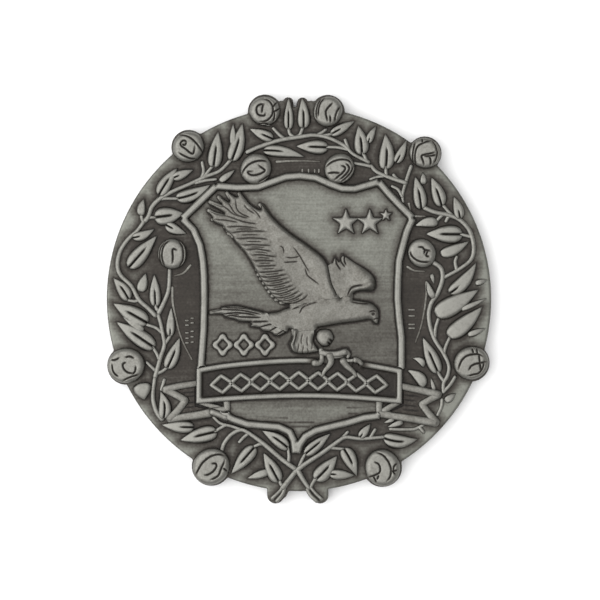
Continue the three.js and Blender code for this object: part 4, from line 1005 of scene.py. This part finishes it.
# A sprig: its main stem's width, its stems, and its leaves as
# (stalk x, stalk y, tip x, tip y, width, bow, share of the length that the vein runs).
sprigs = {
    "sprig_foot_right": (0.85, [
        [(-2.1, -24.5), (-1.3, -23.5), (-0.3, -22.3), (1, -21.3), (3, -20), (5, -18.55),
         (6.1, -17.95), (8, -18.15), (11, -17.95)],
        [(0, -21.9), (0.35, -21), (0.8, -20.1)], [(5.4, -18.3), (5.9, -17.75), (6.35, -17.25)],
        [(9.2, -18.15), (9.5, -17.6), (9.9, -16.95)], [(3.9, -19.3), (4.7, -19.4), (5.75, -19.5)],
        [(-2, -24.5), (-2.4, -24), (-2.5, -23.6)],
        [(11.9, -16.9), (13, -16.95), (14, -16.95), (15, -16.9), (15.7, -16.6), (16.1, -16.4)],
        [(15.7, -16.7), (16.2, -17.3)],
    ], [
        (12.4, -15.6, 11.0, -16.1, 0.6, 0, 0), (0.75, -20.2, 4.1, -17.45, 1.6),
        (5.8, -19.4, 7.5, -22.95, 1.9, 0.15), (11, -18.05, 15.4, -18.2, 1.9, -0.4),
        (-2.6, -23.75, -4.6, -20, 1.9), (-3.9, -22.4, -6.7, -23.3, 1.1, 0, 0),
    ]),
    "sprig_foot_left": (0.8, [
        [(-0.55, -22.05), (-2.2, -20.85), (-3.9, -19.4), (-5, -18.5), (-6.7, -17.3), (-7.6, -17),
         (-8.8, -17.6), (-9.7, -18.7), (-10.05, -19.7)],
        [(-1.4, -21.3), (-1.3, -20.5), (-1.4, -19.4)], [(-4.2, -19), (-5, -18.85), (-5.8, -19.15)],
        [(-6.5, -17.4), (-7.2, -18), (-7.75, -18.6)],
        [(-7.4, -17), (-9.3, -16.4), (-10.1, -16.7), (-10.9, -17.2)],
        [(-9.4, -16.4), (-10.3, -16.1), (-11.1, -15.35)],
    ], [
        (-1.35, -19.4, -4.8, -17.1, 1.75, -0.15), (-5.75, -19.2, -8.8, -22.7, 1.9),
        (-10.7, -17.2, -15.4, -18.35, 2.1),
    ]),
    "stem_end": (0.85, [
        [(-0.1, -22.4), (0.55, -23.5), (1.3, -24.6)], [(2.2, -23.3), (1.8, -23.9), (1.5, -24.5)],
    ], [(2.15, -23.5, 4.95, -20.4, 2.1, -0.1), (4, -22.75, 7.2, -22.9, 1.35, 0, 0.3)]),
    "sprig_left_foot": (0.74, [
        [(-17.8, -15.6), (-18.5, -14.7), (-18.95, -13.2), (-18.95, -11.8), (-18.75, -10.3)],
        [(-17.5, -10.5), (-17.9, -11.8)],
    ], [(-17.6, -15.55, -18, -12, 1.7, -0.35), (-20.25, -10.9, -20.1, -13.1, 2.3, -0.2, 0)]),
    "sprig_left_side": (0.74, [
        [(-18.7, -10.05), (-18.4, -9), (-18, -7.6), (-17.5, -6), (-17.65, -4.8), (-17.95, -3.3),
         (-18.3, -2.1)],
        [(-18.55, -9.4), (-19.2, -8.8), (-19.8, -8.25)], [(-18.5, -9.7), (-17.8, -9.4), (-17.2, -8.95)],
        [(-18.15, -7.9), (-18.5, -7.1), (-19, -6.3)], [(-17.5, -5.9), (-17, -5.2), (-16.7, -4.7)],
        [(-17.8, -4.4), (-18.6, -3.75), (-19.9, -3.3)],
    ], [
        (-17.15, -9.05, -15.5, -5, 1.75, -0.1), (-18.8, -6.3, -23.7, -3, 2.2),
        (-16.75, -4.85, -16.6, -1.1, 1.2, 0, 0.3), (-19.7, -3.1, -24.1, -0.6, 2.3),
        (-20.2, -4.1, -22.9, -2.3, 1.0, 0, 0),
    ]),
    "sprig_left_rose": (0.74, [
        [(-18.2, -1.75), (-17.5, -0.3), (-17, 1), (-16.85, 2.4), (-16.8, 3.8)],
        [(-18.15, -1.6), (-18.5, -1.3), (-18.65, -0.8)],
    ], [(-18.65, -0.95, -18.8, 3.2, 1.55, 0, 0.55)]),
    "sprig_left_outer": (0.74, [
        [(-18.7, -2.15), (-19.6, -1.2), (-20.8, -0.1), (-21.8, 1.7), (-23.2, 3.1), (-23.6, 4.5),
         (-23.2, 6.3), (-22.2, 7.8), (-21, 8.9), (-20.2, 10)],
        [(-20.9, -0.15), (-21.4, -0.3), (-22.2, -0.15)], [(-20.2, 10), (-20.4, 10.4), (-20.5, 11)],
    ], [
        (-22.1, -0.1, -24.1, 2.7, 1.7, -0.15), (-21.6, 7.95, -18.8, 9.1, 1.3, -0.2, 0.35),
        (-20.55, 10.85, -20.15, 13, 1.15, 0.1, 0),
    ]),
    "sprig_left_shoulder": (0.74, [
        [(-19.95, 10.2), (-19.55, 10.8), (-19.1, 12), (-18, 13.1), (-16.2, 14.1), (-14.2, 14.95),
         (-12.2, 15.9), (-10.3, 16.65), (-8.85, 18.1)],
        [(-19.7, 10.5), (-19.3, 10.6), (-18.7, 10.6)], [(-18.3, 13), (-17.3, 13.05), (-15.8, 13.05)],
        [(-12.9, 15.3), (-12.4, 16.5), (-12.6, 17.8)], [(-12.3, 15.9), (-11.8, 16.6), (-11.2, 17.3)],
        [(-13.4, 15.1), (-12.2, 15.4), (-10.8, 15.55)],
    ], [
        (-18.75, 10.6, -14.9, 11.1, 2.3), (-18.2, 13.5, -15.85, 17, 1.75, 0.1),
        (-16.4, 15.7, -13.75, 16.8, 1.3, 0, 0.35), (-15.9, 13.05, -11.5, 14.85, 1.8, -0.3),
        (-11.1, 17.1, -10.5, 21.7, 1.95), (-8.75, 17.95, -7.35, 22.8, 2, -0.15),
        (-8.6, 20, -8.55, 22.75, 0.9, 0, 0), (-17.3, 9.65, -14.6, 8.5, 1.45, -0.1, 0.4),
    ]),
    "sprig_crown": (0.74, [
        [(-6.7, 19.1), (-5, 19.85), (-2.5, 20.65), (0, 21.05), (2, 21.3), (4, 20.9), (6, 19.85),
         (7, 18.85), (9.05, 17.8)],
        [(-2, 20.9), (-2.7, 21.5), (-3.35, 22.2)], [(-0.6, 21), (-1.2, 21.5), (-1.35, 22.2)],
        [(-0.6, 21), (0.1, 21.35), (0.5, 22.3)], [(2.3, 21.3), (2.9, 21.6), (3.5, 22.05)],
        [(2.6, 21.2), (3.5, 21.3), (4.3, 21.5)], [(6.4, 19.4), (5, 19.7), (3.7, 19.75)],
        [(6.5, 19.3), (6.25, 20), (6, 20.7)], [(8.8, 17.9), (8.6, 18.4), (8.3, 19)],
    ], [
        (-3.4, 20.8, -6.4, 22.1, 1.5, 0, 0.5), (-1.35, 22.05, -1.35, 26.05, 1.35),
        (0.6, 22.2, 0.4, 26.05, 1.7, -0.1), (3.75, 19.7, -0.35, 19.85, 1.85),
        (4.15, 21.4, 7.2, 23.1, 1.35, 0, 0.45), (8.2, 18.8, 7.7, 22.5, 1.95, -0.1),
        (9, 20.3, 10, 22.4, 1.05, 0.1, 0.3), (-3.7, 22.65, -5.4, 22.75, 0.5, 0, 0),
    ]),
    "sprig_right_crown": (0.74, [
        [(13.85, 15.1), (12.6, 15.5), (11.2, 16), (10, 16.6), (9.4, 17.3)],
        [(9.5, 17.2), (8.4, 17.45), (7.2, 17.65)], [(11.2, 16), (10.2, 15.85), (9.3, 15.55)],
        [(11.4, 15.9), (11.3, 16.5), (11.3, 17.2)], [(13, 15.4), (12.6, 15.75), (12.3, 16.15)],
        [(14.6, 17.3), (14.2, 16.2), (13.8, 14.9), (13.45, 13.6), (13.5, 12.6)],
        [(13.4, 13.3), (12.9, 14.2), (12.1, 14.65)],
    ], [(11.25, 16.85, 11.2, 21.4, 2.1, -0.2), (12.6, 17.7, 13.95, 20.6, 1.3, -0.1, 0.4)]),
    "sprig_right_outer": (0.74, [
        [(16.3, 11.85), (17.6, 11.3), (19.5, 10.9), (21, 10.2), (22.2, 8.8), (22.7, 6.8), (22.4, 5.2),
         (21, 4), (18.95, 2.85)],
        [(20, 10.8), (19.4, 11.4), (18.8, 12.1)], [(18.7, 11), (18.3, 10.6), (17.9, 10.2)],
        [(19.6, 10.9), (19.3, 10.5), (19.1, 10.1)], [(22.35, 8.1), (21.9, 8.2), (21.1, 8.4)],
        [(20.5, 3.8), (20.3, 4.8), (20.5, 5.5)],
    ], [
        (15.9, 11.7, 15.1, 15.9, 1.8, -0.1), (18.55, 12.1, 17.2, 15.8, 1.8, -0.1),
        (20.95, 10.45, 20.1, 13.3, 1.4, -0.1, 0.4), (18, 10, 15.05, 9.5, 1.4, -0.2, 0),
        (21.2, 8.4, 16.5, 8.45, 2.3), (16.2, 14.9, 16.1, 16.5, 0.9, 0, 0),
    ]),
    "sprig_right_side": (0.74, [
        [(17.4, 4.8), (18.45, 4), (18.65, 2.6), (18, 0.7), (17.2, -0.5), (16.85, -2), (17.1, -3.8),
         (17.7, -5.4), (18.8, -7.1), (19.5, -8.7), (19.3, -10), (18.8, -10.9), (18.75, -12)],
        [(17.65, -4.9), (17.75, -3.8), (18.1, -2.6)], [(18.85, -7), (19.1, -6.1), (19.6, -5)],
        [(18.75, -10.6), (18.4, -10.1), (18.05, -9.5)], [(18.75, -12.1), (19.6, -11.2), (20.3, -10.1)],
        [(18.6, -13.1), (18.5, -14), (18.2, -14.7), (18, -15.1)],
    ], [
        (17.5, 0.1, 16.65, 2.35, 0.95, 0.1, 0), (17.75, -2, 23.3, 1.2, 2.5, -0.1, 0),
        (19.4, -4.85, 23.8, -1, 2.2, -0.2, 0), (18.1, -9.6, 16.1, -5, 1.9),
        (22.9, 2, 24.5, 2.5, 0.8, 0, 0), (21.1, -1.4, 24.4, 0.1, 0.75, 0, 0),
        (21.95, -4.7, 24.25, -3.8, 0.85, 0, 0), (16.3, -8.7, 14.75, -7.7, 0.95, -0.3, 0),
        (17.6, -11.9, 17.1, -10.2, 0.6, 0, 0), (19, -13.3, 20.4, -12.25, 1, 0, 0),
        (17.2, 3.3, 17.55, 1.9, 0.6, 0, 0),
    ]),
}
looseLeaves = {
    "leaf_left_broad": (-22.1, 4.1, -18.5, 8.2, 2.1),
    "leaf_left_small": (-20.6, 0.95, -19.9, 3.35, 1.4, 0, 0),
    "leaf_left_fold": (-13.7, -16.65, -17.8, -16.35, 1.6, 0.1, 0.45),
    "leaf_crown_long": (-4.6, 19.3, 0.7, 18.45, 1.55, 0.25, 0.5),
    "leaf_crown_small": (-10.3, 15.25, -8.3, 16.8, 0.95, 0, 0),
    "leaf_right_curved": (18.4, 5.8, 22.1, 7.5, 1.5, -0.2, 0),
    "leaf_right_broad": (19.6, 0.75, 23, 4.7, 1.8, -0.4, 0.3),
    "leaf_right_lower": (16.4, -11.3, 14.1, -9.25, 1.5, -0.35, 0),
    "leaf_right_foot": (13.5, -15.95, 11.5, -16.65, 0.8, 0, 0),
    "leaf_foot_small": (7.9, -18, 9.3, -16.2, 1.2, 0, 0.3),
}


def growLeaves(name, leaves, nodes):
    # A leaf that leaves out its bow or its vein gets the usual ones.
    rows = [(*leaf, *(0, wreath["veinShare"])[len(leaf) - 5:]) for leaf in leaves]
    x0, y0, x1, y1, width, bow, vein = np.array(rows, float).T
    aims = [math.atan2(y, x) for x, y in zip(x1 - x0, y1 - y0)]
    lengths = [math.hypot(x, y) * mm for x, y in zip(x1 - x0, y1 - y0)]
    points = pointCloud(name, list(zip(x0, y0)), aim=aims, length=lengths,
                        width=width * wreath["fullness"] * mm, bow=bow * mm, vein=vein)
    grown(name, points, leafMaker, {"Height": wreath["leafHeight"] * mm, "Level": ground * mm}, nodes)


for name, (width, stems, leaves) in sprigs.items():
    growLeaves(name + "_leaves", leaves, [name])
    lines = [(stems[0], width, wreath["stemEnd"])]
    lines += [(twig, wreath["stemEnd"], wreath["twigEnd"]) for twig in stems[1:]]
    growBars(name + "_stems", lines, wreath, ground, [name])
growBars("cut_stem_ends", [(line, cutEnds["start"], cutEnds["end"]) for line in cutEnds["lines"]], cutEnds,
         ground, [])
for name, leaf in looseLeaves.items():
    growLeaves(name.replace("leaf_", "single_leaf_"), [leaf], [name])
print("wreath made")


# Small lines on the ground.
ridges = {
    "lines": [[(-16.45, 1.5), (-16.4, -0.5), (-16, -2.5), (-15.5, -4.5), (-14.8, -6.2), (-13.9, -7.9)],
              [(16.6, 2.2), (16.6, 0.9), (16.5, 0), (16.3, -1.5), (15.8, -3.8), (15.1, -5.7)],
              [(-14.1, 4.4), (-15, 3.4), (-16.2, 3)], [(14.1, 4.2), (15, 3.7), (16.3, 3.6)],
              [(-2.9, 17.85), (-1, 17.95), (1, 17.95), (2.7, 17.85)],
              [(14.3, 12.4), (14.45, 11.6)], [(15.1, 10.75), (16.4, 10.75)]],
    "start": 0.42, "end": 0.294, "height": 0.45,
}
dashes = {
    "lines": [[(-14.7, y), (-14.4, y)] for y in (-2.8, -3.4, -4.4, -5.1, -5.7)]
    + [[(-14.0, y), (-13.75, y)] for y in (-2.5, -3.1, -4.2, -4.9, -5.6)]
    + [[(14.3, y), (15.0, y)] for y in (-1.4, -2.2, -3.3, -3.8)]
    + [[(x, 16.45), (x, 16.85)] for x in (0.45, 1.25, 2.05, 2.6)],
    "start": 0.3, "end": 0.3, "height": 0.6,
}
for name, look in (("ground_ridges", ridges), ("ground_dashes", dashes)):
    growBars(name, [(line, look["start"], look["end"]) for line in look["lines"]], look, ground, [])
print("ground marks made")


# Studio.
studio = {
    "floorTone": (0.97, 0.97, 0.97), "floorHalf": 3.0, "sky": 0.68,
    "view": 0.0779, "lens": 200, "aim": (0.00013, -0.00013), "focusRise": 0.6,
    "lamps": [  # place, size, power
        ((-0.3, 0.05, 1.0), 1.6, 9.5),
        ((-0.9, -0.05, 0.8), 1.9, 8.4),
    ],
}


def plainShade(name, tone, rough):
    material = bpy.data.materials.new(name)
    material.use_nodes = True
    g = Graph(material.node_tree)
    shader = g.add("ShaderNodeBsdfPrincipled", None, {"Base Color": (*tone, 1), "Roughness": rough})
    g.add("ShaderNodeOutputMaterial", None, {"Surface": shader})
    return material


half = studio["floorHalf"]
floorMesh = bpy.data.meshes.new("floor")
floorMesh.from_pydata([(-half, -half, 0), (half, -half, 0), (half, half, 0), (-half, half, 0)], [],
                      [(0, 1, 2, 3)])
floorMesh.materials.append(plainShade("floorPaper", studio["floorTone"], 0.9))
floor = bpy.data.objects.new("floor", floorMesh)
bpy.context.scene.collection.objects.link(floor)

for number, (place, size, power) in enumerate(studio["lamps"]):
    light = bpy.data.lights.new(f"softLamp{number}", "AREA")
    light.shape, light.size, light.energy = "DISK", size, power
    lamp = bpy.data.objects.new(light.name, light)
    lamp.location = place
    lamp.rotation_mode = "QUATERNION"
    lamp.rotation_quaternion = lamp.location.to_track_quat("Z", "Y")
    bpy.context.scene.collection.objects.link(lamp)

world = bpy.data.worlds.new("paleRoom")
world.use_nodes = True
world.node_tree.nodes["Background"].inputs["Color"].default_value = (1, 1, 1, 1)
world.node_tree.nodes["Background"].inputs["Strength"].default_value = studio["sky"]
bpy.context.scene.world = world
bpy.context.scene.view_settings.view_transform = "Standard"

cameraData = bpy.data.cameras.new("camera")
cameraData.lens = studio["lens"]
camera = bpy.data.objects.new("camera", cameraData)
distance = studio["view"] * studio["lens"] / cameraData.sensor_width
camera.location = (*studio["aim"], distance + (ground + studio["focusRise"]) * mm)
bpy.context.scene.collection.objects.link(camera)
bpy.context.scene.camera = camera
print("studio made")
